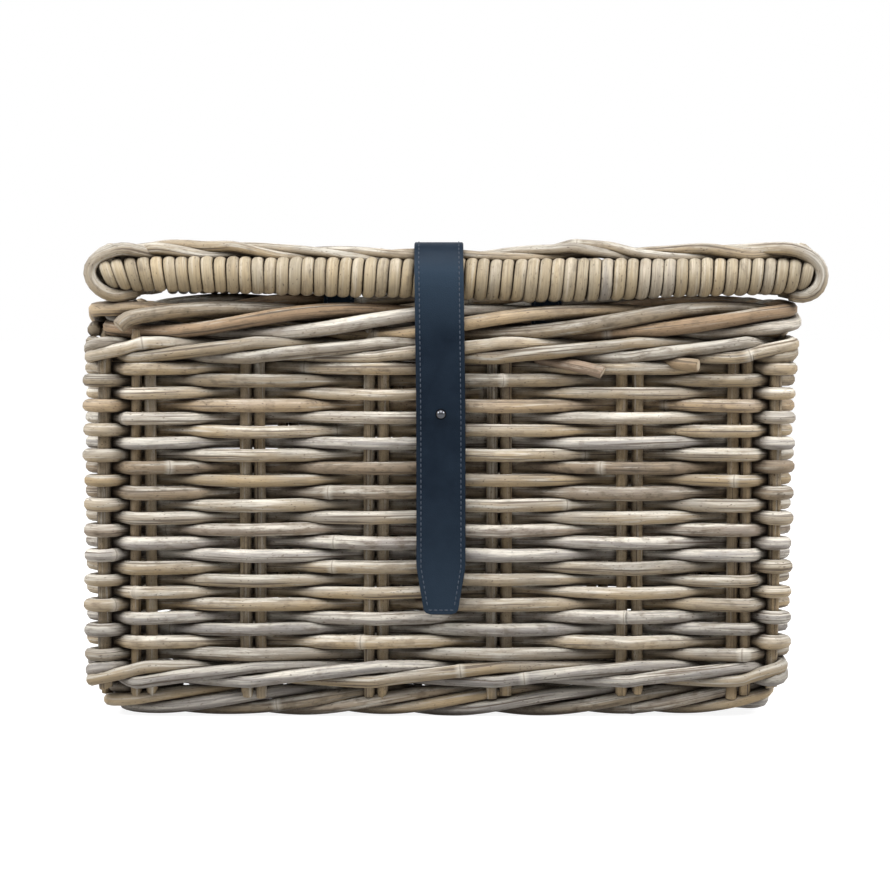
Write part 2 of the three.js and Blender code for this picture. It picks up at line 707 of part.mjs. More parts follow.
// A leather loop that holds the lid's back rod to the rim and lets it turn
function hingeStrap() {
  const rodReach = backRodRadius + seatGap;
  const rimReach = rimRadius + seatGap;
  const rimY = wallHalfDepth + rimOutset;
  const stadium = (grow) => {
    const points = [];
    for (let i = 0; i <= hingeSides; i++) {
      const angle = (Math.PI * i) / hingeSides;
      const reach = (rodReach + grow) * hingeFit;
      points.push(new THREE.Vector2(wallHalfDepth + reach * Math.cos(angle), frontBarHeight + reach * Math.sin(angle)));
    }
    for (let i = 0; i <= hingeSides; i++) {
      const angle = Math.PI + (Math.PI * i) / hingeSides;
      const reach = (rimReach + grow) * hingeFit;
      points.push(new THREE.Vector2(rimY + reach * Math.cos(angle), rimCentre + reach * Math.sin(angle)));
    }
    return points;
  };
  const shape = new THREE.Shape(stadium(hingeLeather));
  shape.holes.push(new THREE.Path(stadium(0)));
  const loop = new THREE.ExtrudeGeometry(shape, { depth: hingeWidth, bevelEnabled: false });
  loop.applyMatrix4(new THREE.Matrix4().makeBasis(
    new THREE.Vector3(0, 1, 0), up, new THREE.Vector3(1, 0, 0),
  ));
  return loop.translate(-hingeWidth / 2, 0, 0);
}

function piece(name, geometry, look, x = 0, y = 0, z = 0) {
  const mesh = new THREE.Mesh(geometry, new THREE.MeshStandardMaterial(look));
  mesh.name = name;
  mesh.position.set(x, y, z);
  return mesh;
}

function body() {
  const group = new THREE.Group();
  group.add(piece('foot_border', footBorder(), darkRattan));
  group.add(piece('rim_border', rimBorder(), rattan));
  group.add(piece('wall_weaver_a', cut(wallWeaver(0), shankRoom()), rattan));
  group.add(piece('wall_weaver_b', cut(wallWeaver(1), shankRoom()), darkRattan));
  for (const [place, centre] of [['bottom', bottomWaleCentre], ['top', topWaleCentre]]) {
    for (let phase = 0; phase < 3; phase++) {
      group.add(piece(`${place}_wale_rod_${phase + 1}`, waleRod(phase, centre), phase === 1 ? darkRattan : rattan));
    }
  }
  for (const stake of stakes) {
    const rod = piece(stake.name, stakeRod(stake), rattan, stake.x, stake.y, footTop + seatGap);
    rod.rotation.z = stake.isPost ? 0 : stake.angle - Math.PI / 2;
    group.add(rod);
  }
  const baseBottom = footTop + seatGap;
  group.add(piece('base_weave', baseWeave(), darkRattan, 0, 0, baseBottom));
  baseStickPlaces.forEach((y, i) => {
    const stick = alongX(stickOutline(0), 2 * (baseHalfWidth - baseCornerRadius), 0, y, baseBottom + stickSink);
    group.add(piece(`base_stick_${i + 1}`, stick, rattan));
  });
  const front = -wallHalfDepth;
  group.add(piece('closing_stud', closingStud(), steel, strapShift, front, studHeight));
  group.add(piece('stud_backing', studBacking(), navyLeather, strapShift, front - backingFace, studHeight));
  group.add(piece('stud_nut', studNut(), steel, strapShift, front, studHeight));
  for (const [place, side] of [['left', -1], ['right', 1]]) {
    group.add(piece(`hinge_strap_${place}`, hingeStrap(), navyLeather, side * hingePlace));
  }
  return group;
}

function lid() {
  const group = new THREE.Group();
  group.position.x = lidShift;
  const barOutline = roundOutline(barRadius, barSides);
  const frontBar = alongX(barOutline, 2 * barHalfLength, 0, -wallHalfDepth, frontBarHeight);
  group.add(piece('lid_front_bar', frontBar, rattan));
  group.add(piece('lid_front_wrap', frontWrap(), rattanPeel, 0, -wallHalfDepth, frontBarHeight));
  const backOutline = roundOutline(backRodRadius, rodSides);
  const backRod = alongX(backOutline, 2 * barHalfLength, 0, wallHalfDepth, frontBarHeight);
  group.add(piece('lid_back_rod', backRod, rattan));
  for (const [place, side] of [['left', -1], ['right', 1]]) {
    const length = 2 * wallHalfDepth + wrapRadius - seatGap;
    const middle = -wrapRadius / 2;
    const bar = alongY(barOutline, length, side * sideBarPlace, middle, sideBarHeight);
    group.add(piece(`lid_${place}_bar`, bar, rattan));
    group.add(piece(`lid_${place}_loops`, sideLoops(side), rattan));
  }
  group.add(piece('lid_weave', lidWeave(), rattan, 0, 0, lidPlane));
  lidStakePlaces.forEach((x, i) => {
    const length = 2 * wallHalfDepth - wrapRadius - backRodRadius - 2 * seatGap;
    const middle = (wrapRadius - backRodRadius) / 2;
    const stake = alongY(lidPairOutline(), length, x, middle, lidPlane);
    group.add(piece(`lid_stake_pair_${i + 1}`, stake, rattan));
  });
  group.add(piece('lid_front_border', lidFrontBorder(), darkRattan));
  group.add(piece('strap_anchor', strapAnchor(), navyLeather));
  group.add(piece('strap_tail', strapTail(), navyLeather));
  rivetPlaces.forEach((place, i) => {
    group.add(piece(`strap_rivet_${i + 1}`, rivet(), steel, place.x, place.y, 0));
  });
  return group;
}

const basket = new THREE.Group();
basket.add(body(), lid());
const box = new THREE.Box3().setFromObject(basket);
const middle = box.getCenter(new THREE.Vector3());
basket.position.set(-middle.x, -middle.y, -box.min.z);

export default basket;
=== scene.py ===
import math
import random

import bpy
import numpy as np
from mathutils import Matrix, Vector


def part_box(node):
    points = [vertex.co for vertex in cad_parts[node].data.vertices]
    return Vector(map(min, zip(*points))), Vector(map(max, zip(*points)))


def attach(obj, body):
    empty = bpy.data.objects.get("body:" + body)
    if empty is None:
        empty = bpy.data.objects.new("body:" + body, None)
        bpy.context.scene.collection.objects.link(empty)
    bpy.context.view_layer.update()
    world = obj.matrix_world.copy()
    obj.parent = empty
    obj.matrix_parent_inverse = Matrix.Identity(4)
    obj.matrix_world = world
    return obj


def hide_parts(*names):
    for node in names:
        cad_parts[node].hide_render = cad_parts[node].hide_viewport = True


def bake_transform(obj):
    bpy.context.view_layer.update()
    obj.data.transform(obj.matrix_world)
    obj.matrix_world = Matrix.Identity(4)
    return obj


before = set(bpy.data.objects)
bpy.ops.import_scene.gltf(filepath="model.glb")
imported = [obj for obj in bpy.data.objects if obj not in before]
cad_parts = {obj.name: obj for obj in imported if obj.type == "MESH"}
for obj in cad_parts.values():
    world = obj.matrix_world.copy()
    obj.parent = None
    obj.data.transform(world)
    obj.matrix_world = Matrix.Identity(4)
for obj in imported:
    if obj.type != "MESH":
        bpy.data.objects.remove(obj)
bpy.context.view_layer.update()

# A lidded basket of round rattan with a leather strap. Lengths are millimetres until a mesh is made.
# The front faces -Y, and places come from the boxes of the frame's nodes.
METRE = 1000.0
FULL_TURN = 2 * math.pi
UP = np.array([0.0, 0.0, 1.0])
ALONG_X = np.array([1.0, 0.0, 0.0])
ALONG_Y = np.array([0.0, 1.0, 0.0])
HINGES = ("hinge_strap_left", "hinge_strap_right")

# Radii of the rods
WEAVER = 4.06
WALE = 4.15
WALE_END = 4.0
STAKE = 3.9
RIM_STRAND = 4.6
FOOT_STRAND = 4.2
BASE_ROD = 2.9
BASE_STICK = 3.6
LID_ROD = 3.6
LID_STAKE = 3.2
LID_SIDE_BAR = 9.4
LID_FRONT_STRAND = 3.35
FRONT_BAR = 7.8
BACK_BAR = 7.9

# The wall
SLACK = 0.3  # between a rod and the stake that it passes
ROWS = 24
PAIR_SPACING = 8.5
WIDE_PAIRS = {"front_stake_pair_1": 9.2, "front_stake_pair_5": 10.0}
WALE_CLIMB = 4.7
CORNER_TURN = 50  # degrees that a rod turns before and after the middle of a corner post
RIGHT_LEAN = ((0, 7.6), (218, 3.8), (238, 1.2), (258, 0.0))  # at heights above the floor
LEAN_FROM, LEAN_OVER = 184.0, 30.0

# Borders: their strands, the turns they make, and how far each strand's middle is from the border's
STRANDS = 4
RIM_TURNS, RIM_RING = 5, 7.6
FOOT_TURNS, FOOT_RING = 7, 6.0
RIM_CUT = -205.0
RIM_OUTERMOST = -204.0

# Heights above the floor
FIRST_ROW = 40.2
LAST_ROW = 221.8
TOP_WALE = 233.2
BOTTOM_WALE = 28.2
RIM_HEIGHT = 252.6
FOOT_HEIGHT = 10.4
BASE_HEIGHT = 20.6
STAKE_FOOT = 12.5
POST_FOOT = 19.0
STAKE_TOP = 246.0

# The lid: its rows, the turns of cane round its bars, and how thick that cane is
LID_ROWS = 39
WRAPS = 57
BACK_WRAPS = 55
PEEL = 4.8
BACK_PEEL = 4.6
HINGE_HALF_GAP = 15.5  # the back rod isn't wrapped under a hinge strap

# Leather
LEATHER = 2.8
HINGE_LEATHER = 2.5
HINGE_TOP, HINGE_FOOT = 8.4, 12.6  # the inner radii of a hinge strap, round the back rod and round the rim
STRAP_WIDTH = 31.0
STRAP_TIP = 66.8
STRAP_POINT = 30.0
STRAP_TIP_WIDTH = 21.0
STRAP_TIP_CORNER = 3.6
STRAP_LEAN = -1.3
LEATHER_CORNER = 6.0
LEATHER_EDGE = 1.0
HOLE = 2.3
SLIT = 0.25
SLIT_TOP = 9.0
STITCH_INSET = 2.9
HINGE_STITCH_INSET = 2.4
STITCH_PITCH = 3.35
BALL = 3.5  # the radius of the stud's ball

# The node attribute far from any node of the cane, and on a cut end
PLAIN = 9.0
CUT_END = -20.0
# The rings that round a cut end off: their share of the rod, how many radii out, and node attribute
END_RINGS = ((0.93, 0.10, PLAIN), (0.72, 0.17, CUT_END))
END_MIDDLE = 0.18
END_SLANT = 0.35


def box(node):
    low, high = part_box(node)
    return np.array(low) * METRE, np.array(high) * METRE


def middle(node):
    low, high = box(node)
    return (low + high) / 2


def unit(vectors):
    return vectors / np.linalg.norm(vectors, axis=-1, keepdims=True)


def spoke(angle):
    """The unit vector at an angle in a plane."""
    return np.array([math.cos(angle), math.sin(angle)])


def lengths(line):
    """How far along a line its points are."""
    return np.concatenate([[0], np.cumsum(np.linalg.norm(np.diff(line, axis=0), axis=1))])


def along(at, reached, values):
    """The values at some lengths, from those at the lengths reached by a line's points."""
    return np.stack([np.interp(at, reached, column) for column in np.transpose(values)], axis=-1)


def directions(line, closed=False):
    """The unit direction of a line at each of its points."""
    if closed:
        return unit(np.roll(line, -1, axis=0) - np.roll(line, 1, axis=0))
    return unit(np.gradient(line, axis=0))


WHITE = (1.0, 1.0, 1.0, 1.0)
GREY_CANE = (0.330, 0.300, 0.255, 1)
TAN_CANE = (0.440, 0.330, 0.195, 1)
PALE_CANE = (0.620, 0.580, 0.505, 1)
GREY_PEEL = (0.345, 0.295, 0.215, 1)
TAN_PEEL = (0.430, 0.335, 0.205, 1)
PALE_PEEL = (0.500, 0.435, 0.335, 1)
WARM_BROWN = (0.38, 0.245, 0.155, 1)
COOL_GREY = (0.318, 0.298, 0.287, 1)
WORN_BROWN = (0.215, 0.165, 0.135, 1)
STAIN = (0.15, 0.115, 0.08, 1)
SPECK = (0.10, 0.07, 0.05, 1)
CRACK = (0.13, 0.10, 0.075, 1)
NODE_RING = (0.12, 0.08, 0.055, 1)
CUT_CANE = (0.56, 0.47, 0.35, 1)
# Dirt and painted shade for the crevices between rods
DIRT_AND_SHADE = (0.032, 0.022, 0.014, 1)
DARK_LEATHER = (0.0055, 0.0110, 0.0200, 1)
LIGHT_LEATHER = (0.0115, 0.0200, 0.0330, 1)
# Painted sheen on the strap
PAINTED_SHEEN_LEATHER = (0.0250, 0.0410, 0.0630, 1)
DARK_THREAD = (0.018, 0.028, 0.046, 1)
LIGHT_THREAD = (0.038, 0.053, 0.078, 1)
# Painted reflection: the steel's very dark tint stands for a dark room mirrored in the polished ball
DARK_STEEL = (0.062, 0.064, 0.070, 1)
LIGHT_STEEL = (0.080, 0.082, 0.088, 1)
FLOOR_GREY = (0.38, 0.38, 0.38, 1)
FLOOR_GLOW = 0.9


class Nodes:
    """A material's or world's node tree, with a short way to add and join nodes."""

    def __init__(self, owner):
        self.owner = owner
        owner.use_nodes = True
        self.tree = owner.node_tree
        self.tree.nodes.clear()

    def add(self, kind, inputs, **settings):
        node = self.tree.nodes.new("ShaderNode" + kind)
        for key, value in settings.items():
            setattr(node, key, value)
        for key, value in inputs.items():
            if isinstance(value, bpy.types.NodeSocket):
                self.tree.links.new(value, node.inputs[key])
            else:
                node.inputs[key].default_value = value
        return node

    def attribute(self, name, output="Vector"):
        return self.add("Attribute", {}, attribute_name=name).outputs[output]

    def place(self, output="Object"):
        return self.add("TexCoord", {}).outputs[output]

    def split(self, vector):
        return self.add("SeparateXYZ", {0: vector}).outputs

    def noise(self, place, scale, detail=2.0, roughness=0.5):
        inputs = {"Vector": place, "Scale": scale, "Detail": detail, "Roughness": roughness}
        return self.add("TexNoise", inputs).outputs["Fac"]

    def grain(self, stretch, *settings):
        """Noise in a rod's own place, drawn out along it."""
        inputs = {0: self.attribute("rod_place"), 1: (1, 1, stretch)}
        return self.noise(self.add("VectorMath", inputs, operation="MULTIPLY").outputs[0], *settings)

    def maths(self, operation, a, b=0.0):
        return self.add("Math", {0: a, 1: b}, operation=operation).outputs[0]

    def ranged(self, value, low, high, to_low=0.0, to_high=1.0):
        inputs = {"Value": value, "From Min": low, "From Max": high, "To Min": to_low, "To Max": to_high}
        return self.add("MapRange", inputs, clamp=True).outputs["Result"]

    def mixed(self, factor, a, b, blend="MIX"):
        return self.add("Mix", {0: factor, 6: a, 7: b}, data_type="RGBA", blend_type=blend).outputs[2]

    def towards(self, colour, value, low, high, share, other):
        """The colour mixed with up to a share of another, as a value goes from low to high."""
        return self.mixed(self.ranged(value, low, high, 0.0, share), colour, other)

    def weighed(self, *parts):
        """The sum of values, each times its weight."""
        products = [self.maths("MULTIPLY", value, weight) for value, weight in parts]
        total = products[0]
        for product in products[1:]:
            total = self.maths("ADD", total, product)
        return total

    def bump(self, height, strength, distance):
        inputs = {"Height": height, "Strength": strength, "Distance": distance}
        return self.add("Bump", inputs).outputs["Normal"]

    def surface(self, colour, roughness, normal, specular=0.5, metallic=0.0):
        inputs = {"Base Color": colour, "Roughness": roughness, "Normal": normal,
                  "Specular IOR Level": specular, "Metallic": metallic}
        return self.finish(self.add("BsdfPrincipled", inputs))

    def finish(self, shader, kind="OutputMaterial"):
        self.add(kind, {"Surface": shader.outputs[0]})
        return self.owner


def new_nodes(name):
    return Nodes(bpy.data.materials.new(name))


def rattan_material(name, grey, tan, pale, roughness, fibre_depth=0.00022, dirt_and_shade_reach=0.0075, cracks=0.9):
    """Weathered rattan: fibres and streaks along the rod, specks, rings at the cane's nodes, and painted
    light and shade by facing and between rods.
    """
    n = new_nodes(name)
    warmth, lightness, wear = n.split(n.attribute("rod_tint"))
    mark = n.attribute("rod_node", "Fac")
    to_node = n.maths("ABSOLUTE", mark)
    fibre = n.grain(0.03, 1500, 3, 0.6)
    streak = n.grain(0.05, 420, 4, 0.65)
    patch = n.grain(0.3, 70, 3, 0.6)
    blotch = n.grain(0.45, 260, 3, 0.6)
    speck = n.grain(0.4, 1100, 1)
    crack = n.grain(0.015, 620)
    upward = n.split(n.place("Normal"))[2]
    # From grey to tan, the rod's own tint, and painted shade: warmer on faces turned down, greyer on faces
    # turned up
    warm = n.maths("ADD", warmth, n.ranged(patch, 0.3, 0.7, -0.35, 0.35))
    # Painted shade: faces turned down are made warmer
    warm = n.maths("ADD", warm, n.ranged(upward, -0.7, 0.8, 0.42, -0.2))
    colour = n.mixed(n.ranged(warm, 0.0, 1.0), grey, tan)
    colour = n.towards(colour, warmth, 0.70, 1.0, 0.6, WARM_BROWN)
    colour = n.towards(colour, warmth, 0.25, 0.0, 0.7, COOL_GREY)
    colour = n.towards(colour, wear, 0.72, 1.0, 0.55, WORN_BROWN)
    # Bleached streaks with painted light, paler on faces turned up; stains, specks and cracks
    bleach_and_painted_light = n.maths("ADD", streak, n.ranged(warmth, 0.0, 0.8, 0.07, -0.06))
    # Painted light: faces turned up are made paler
    bleach_and_painted_light = n.maths("ADD", bleach_and_painted_light, n.ranged(upward, -0.5, 0.9, -0.07, 0.05))
    colour = n.towards(colour, bleach_and_painted_light, 0.50, 0.64, 0.9, pale)
    stain = n.maths("MULTIPLY", n.ranged(blotch, 0.50, 0.70), wear)
    colour = n.mixed(n.maths("MULTIPLY", stain, 0.85), colour, STAIN)
    colour = n.towards(colour, speck, 0.665, 0.745, 0.75, SPECK)
    colour = n.towards(colour, crack, 0.41, 0.33, cracks, CRACK)
    shade = n.maths("MULTIPLY", lightness, n.ranged(fibre, 0.25, 0.75, 0.76, 1.19))
    grey_shade = n.add("CombineColor", {0: shade, 1: shade, 2: shade}).outputs[0]
    colour = n.mixed(1.0, colour, grey_shade, "MULTIPLY")
    # The cane's nodes, its cut ends, and dirt with painted shade where rods lie close together
    colour = n.towards(colour, to_node, 4.0, 0.8, 0.5, pale)
    ring = n.ranged(to_node, 0.7, 0.15, 0.0, 0.45)
    colour = n.mixed(ring, colour, NODE_RING)
    colour = n.towards(colour, mark, CUT_END / 2, CUT_END * 0.8, 0.8, CUT_CANE)
    # Painted shade, partly dirt: ambient occlusion darkens the colour where rods lie close together
    open_air = n.add("AmbientOcclusion", {"Distance": dirt_and_shade_reach}, samples=4).outputs["AO"]
    colour = n.towards(colour, open_air, 0.80, 0.38, 0.92, DIRT_AND_SHADE)
    groove = n.ranged(crack, 0.41, 0.33, 0.0, 0.7)
    height = n.weighed((fibre, 0.5), (streak, 0.8), (groove, -1.0), (ring, -1.2))
    rough = n.ranged(blotch, 0.3, 0.7, roughness - 0.06, roughness + 0.12)
    return n.surface(colour, rough, n.bump(height, 0.8, fibre_depth), 0.25)


def leather_material():
    """Smooth leather, painted paler below its bend and towards its tip: a painted sheen where light falls on
    the strap.
    """
    n = new_nodes("navy_leather")
    place = n.place()
    grain = n.add("TexVoronoi", {"Vector": place, "Scale": 1500}).outputs["Distance"]
    crease = n.noise(place, 260, 4, 0.6)
    mottle = n.noise(place, 45, 3, 0.55)
    colour = n.mixed(n.ranged(mottle, 0.3, 0.7), DARK_LEATHER, LIGHT_LEATHER)
    colour = n.towards(colour, crease, 0.58, 0.72, 0.35, LIGHT_LEATHER)
    upward = n.split(n.place("Generated"))[2]
    # Painted sheen: paler leather below the bend and towards the tip stands for light falling on the strap
    sheen_below_bend = n.maths("MULTIPLY", n.ranged(upward, 0.74, 0.89), n.ranged(upward, 0.985, 0.925))
    painted_sheen = n.maths("ADD", sheen_below_bend, n.ranged(upward, 0.32, 0.08, 0.0, 0.55))
    colour = n.mixed(painted_sheen, colour, PAINTED_SHEEN_LEATHER)
    rough = n.ranged(crease, 0.3, 0.7, 0.35, 0.50)
    return n.surface(colour, rough, n.bump(n.weighed((grain, 0.9), (crease, 0.7)), 0.55, 0.00016), 0.07)


def thread_material():
    n = new_nodes("waxed_thread")
    twist = n.noise(n.place(), 2600, 2)
    colour = n.mixed(n.ranged(twist, 0.3, 0.7), DARK_THREAD, LIGHT_THREAD)
    return n.surface(colour, 0.6, n.bump(twist, 0.5, 0.00012))


def steel_material():
    n = new_nodes("polished_steel")
    haze = n.noise(n.place(), 900, 3)
    # Painted reflection: the dark tint stands for a dark room mirrored in the steel
    colour = n.mixed(n.ranged(haze, 0.3, 0.7), DARK_STEEL, LIGHT_STEEL)
    rough = n.ranged(haze, 0.3, 0.7, 0.04, 0.09)
    return n.surface(colour, rough, n.bump(haze, 0.15, 0.00005), metallic=1.0)


def floor_material():
    """A grey floor that keeps the shadow, white to the camera and in reflections."""
    n = new_nodes("pale_floor")
    path = n.add("LightPath", {}).outputs
    seen = n.maths("MAXIMUM", path["Is Camera Ray"], path["Is Glossy Ray"])
    lit = n.add("BsdfDiffuse", {"Color": FLOOR_GREY})
    glow = n.add("Emission", {"Color": WHITE, "Strength": n.maths("MULTIPLY", seen, FLOOR_GLOW)})
    return n.finish(n.add("AddShader", {0: lit.outputs[0], 1: glow.outputs[0]}))


materials = {
    "rattan": rattan_material("weathered_rattan", GREY_CANE, TAN_CANE, PALE_CANE, 0.62),
    "rattan_peel": rattan_material("rattan_peel", GREY_PEEL, TAN_PEEL, PALE_PEEL, 0.50,
                                   fibre_depth=0.00014, dirt_and_shade_reach=0.0042, cracks=0.25),
    "navy_leather": leather_material(),
    "thread": thread_material(),
    "steel": steel_material(),
    "floor": floor_material(),
}


def linked(made):
    bpy.context.scene.collection.objects.link(made)
    return made


def mesh_object(name, points, faces, material):
    """A smooth shaded object from points in millimetres and a list of arrays of faces."""
    mesh = bpy.data.meshes.new(name)
    places = np.asarray(points, float) / METRE
    mesh.from_pydata(places.tolist(), [], [face for group in faces for face in group.tolist()])
    mesh.validate()
    mesh.shade_smooth()
    mesh.materials.append(materials[material])
    return linked(bpy.data.objects.new(name, mesh))


def seat(made, body, slot, *replaced):
    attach(made, body)
    if replaced:
        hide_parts(*replaced)


def band(low, high, sides, flip=False):
    """The faces between two rings of points, which start at these numbers."""
    ring = np.arange(sides)
    nxt = (ring + 1) % sides
    faces = np.stack([low + ring, low + nxt, high + nxt, high + ring], axis=-1).reshape(-1, 4)
    return faces[:, ::-1] if flip else faces


def tube(count, sides, closed=False):
    """The faces between rings of points that follow each other."""
    low = np.arange(count if closed else count - 1)[:, None] * sides
    return band(low, (low + sides) % (count * sides), sides)


def fan(start, hub, sides, flip=False):
    """The triangles between a ring of points and the point in its middle."""
    ring = np.arange(sides)
    faces = np.stack([start + ring, start + (ring + 1) % sides, np.full(sides, hub)], axis=1)
    return faces[:, ::-1] if flip else faces


def capped(name, rings, ends, material):
    """An object from rings of points that follow each other, closed by a point at each end."""
    count, sides = rings.shape[:2]
    hub = count * sides
    fans = np.vstack([fan(0, hub, sides, True), fan(hub - sides, hub + 1, sides)])
    return mesh_object(name, np.vstack([rings.reshape(-1, 3), ends]), [tube(count, sides), fans], material)


def spline(points, spacing=1.0, closed=False):
    """A Catmull-Rom curve through the points, in small steps."""
    points = np.asarray(points, float)
    if closed:
        points = np.vstack([points[-1], points, points[0], points[1]])
    else:
        points = np.vstack([2 * points[0] - points[1], points, 2 * points[-1] - points[-2]])
    parts = []
    for i in range(1, len(points) - 2):
        p0, p1, p2, p3 = points[i - 1:i + 3]
        count = max(2, int(np.linalg.norm(p2 - p1) / spacing))
        t = np.arange(count)[:, None] / count
        parts.append(0.5 * (2 * p1 + (p2 - p0) * t + (2 * p0 - 5 * p1 + 4 * p2 - p3) * t ** 2
                            + (3 * p1 - p0 - 3 * p2 + p3) * t ** 3))
    parts.append(points[-2:-1])
    return np.vstack(parts)


def wander(draw, amount, shortest, stations):
    """Smooth waves of random phase along a rod, of about the given size."""
    total = np.zeros(len(stations))
    for k in range(3):
        wavelength = shortest * (1.0 + 1.3 * k + draw.random())
        total += np.sin(FULL_TURN * (stations / wavelength + draw.random())) * (0.4 + 0.3 * k)
    return total * amount / 1.2


def leaned(route):
    """The basket's right wall leans in a little towards its foot."""
    share = np.clip((route[:, 0] - LEAN_FROM) / LEAN_OVER, 0, 1)
    moved = route.copy()
    moved[:, 0] -= share * np.interp(route[:, 2], *zip(*RIGHT_LEAN))
    return moved


class Rods:
    """Round or flat rods that share one mesh, with the attributes that the rattan shader reads."""

    def __init__(self, name, body, slot, *replaced):
        self.name, self.body, self.slot, self.replaced = name, body, slot, replaced
        self.draw = random.Random(name)
        self.points, self.quads, self.triangles = [], [], []
        self.place, self.tint, self.node = [], [], []
        self.count = 0

    def add(self, route, radius, closed=False, side=UP, sides=10, step=5.0, thickness=None, tint=None,
            wave=0.0, square=1.0, taper=(1.0, 1.0)):
        """A rod along a route, with a small swing to the given side, a varying size and cut ends."""
        draw = self.draw
        route = np.asarray(route, float)
        if self.body == "basket":
            route = leaned(route)
        reached = lengths(route)
        whole = reached[-1]
        stations, to_node = self.stations(whole, step, closed)
        to_end = np.minimum(stations, whole - stations)
        centre = along(stations, reached, route)
        if wave:
            swing = wander(draw, wave, 60, stations) * np.clip(to_end / 20, 0, 1)
            centre = centre + swing[:, None] * side
        tangent = directions(centre, closed)
        first = unit(side - (tangent @ side)[:, None] * tangent)
        second = np.cross(tangent, first)
        size = 1 + 0.035 * wander(draw, 1.0, 45, stations)
        if closed:
            size = 1 + (size - 1) * np.clip(to_end / 30, 0, 1)
        size = size * (1 + 0.075 * np.exp(-(to_node / 2.0) ** 2))
        size = size * np.interp(stations, np.linspace(0, whole, len(taper)), taper)
        angle = FULL_TURN * np.arange(sides) / sides
        oval = 1 + 0.03 * np.cos(2 * angle + 6.28 * draw.random())
        cos, sin = (np.sign(part) * np.abs(part) ** square * oval for part in (np.cos(angle), np.sin(angle)))
        across = (radius * size)[:, None] * cos
        deep = ((thickness or radius) * size)[:, None] * sin
        rings = centre[:, None] + first[:, None] * across[..., None] + second[:, None] * deep[..., None]
        place = np.stack([across, deep, np.repeat(stations[:, None], sides, axis=1)], axis=2)
        places = [place.reshape(-1, 3)]
        self.points.append(rings.reshape(-1, 3))
        self.node.append(np.repeat(to_node, sides))
        base, count = self.count, len(stations)
        self.quads.append(tube(count, sides, closed) + base)
        self.count += count * sides
        for end, way in () if closed else ((0, -1), (count - 1, 1)):
            slant = END_SLANT * draw.uniform(-1, 1)
            for share, out, node in END_RINGS:
                ahead = (way * out * radius + slant * share * across[end])[:, None] * tangent[end]
                self.points.append(centre[end] + share * (rings[end] - centre[end]) + ahead)
                self.node.append([node] * sides)
                places.append(place[end] * [share, share, 1])
            self.points.append([centre[end] + tangent[end] * way * END_MIDDLE * radius])
            self.node.append([CUT_END])
            places.append([[0, 0, stations[end]]])
            outer, lip, hub = base + end * sides, self.count, self.count + 2 * sides
            self.quads += [band(outer, lip, sides, way < 0), band(lip, lip + sides, sides, way < 0)]
            self.triangles.append(fan(lip + sides, hub, sides, way < 0))
            self.count += 2 * sides + 1
        places = np.concatenate(places)
        shift = np.array([draw.uniform(0, 900) for _ in range(3)])
        self.place.append(places / METRE + shift / 100)
        self.tint.append(np.tile(tint or self.random_tint(), (len(places), 1)))

    def stations(self, whole, step, closed):
        """The lengths at which a rod has rings of points, and how far each is from the cane's nodes."""
        marks, at = [], self.draw.uniform(40, 480)
        while at < whole - 6:
            marks.append(at)
            at += self.draw.uniform(230, 560)
        stations = np.linspace(0, whole, max(4, round(whole / step) + 1))
        near = [mark + offset for mark in marks for offset in (-3.5, -1.6, -0.5, 0.0, 0.5, 1.6, 3.5)]
        stations = np.unique(np.round(np.concatenate([stations, near]), 2))
        stations = stations[(stations >= 0) & (stations <= whole)]
        if closed:
            stations = stations[stations < whole - 0.4 * step]
        distances = [np.full(len(stations), PLAIN)] + [np.abs(stations - mark) for mark in marks]
        return stations, np.min(distances, axis=0)

    def random_tint(self):
        """A rod's warmth, lightness and wear."""
        warmth = min(1, max(0, self.draw.gauss(0.36, 0.36)))
        return warmth, self.draw.uniform(0.74, 1.22), self.draw.uniform(0.1, 1.0)

    def finish(self):
        material = self.slot if self.slot in materials else "rattan"
        made = mesh_object(self.name, np.concatenate(self.points), self.quads + self.triangles, material)
        for name, values in (("rod_place", self.place), ("rod_tint", self.tint), ("rod_node", self.node)):
            values = np.concatenate(values).astype(np.float32)
            kind, key = ("FLOAT_VECTOR", "vector") if values.ndim == 2 else ("FLOAT", "value")
            made.data.attributes.new(name, kind, "POINT").data.foreach_set(key, values.ravel())
        seat(made, self.body, self.slot, *self.replaced)


def straight_rod(name, body, node, start, end, radius, **settings):
    rods = Rods(name, body, "rattan", node)
    rods.add([start, end], radius, **settings)
    rods.finish()


# The wall's sides, anticlockwise from above: the way each faces, its first corner and its pairs of stakes
WALL_SIDES = ((-90, "front", "front_left", 6), (0, "right", "front_right", 4),
              (90, "back", "back_right", 6), (180, "left", "back_left", 4))


def wall_stakes():
    """Each stake's node, whether it is a corner post, its place, and the angle it faces."""
    found = []
    for facing, side, corner, pairs in WALL_SIDES:
        found.append((f"corner_post_{corner}", True, facing - 45))
        found += [(f"{side}_stake_pair_{i + 1}", False, facing) for i in range(pairs)]
    return [(node, is_post, middle(node)[:2], math.radians(facing)) for node, is_post, facing in found]


stakes = wall_stakes()
stake_places = np.array([stake[2] for stake in stakes])
wall_low, wall_high = stake_places.min(axis=0), stake_places.max(axis=0)
wall_centre = (wall_low + wall_high) / 2
wall_half = (wall_high - wall_low) / 2


def passing(index, side, reach, half=5.5):
    """The points where a rod passes a stake: outside it (side 1) or inside it (side -1)."""
    _, is_post, place, facing = stakes[index % len(stakes)]
    past = place + side * reach * spoke(facing)
    if not is_post:
        return [past + aside * spoke(facing + math.pi / 2) for aside in (-half, half)]
    if side < 0:
        return [past]
    turn = math.radians(CORNER_TURN)
    return [place + reach / math.cos(turn / 2) * spoke(facing + way * turn) for way in (-1, 0, 1)]


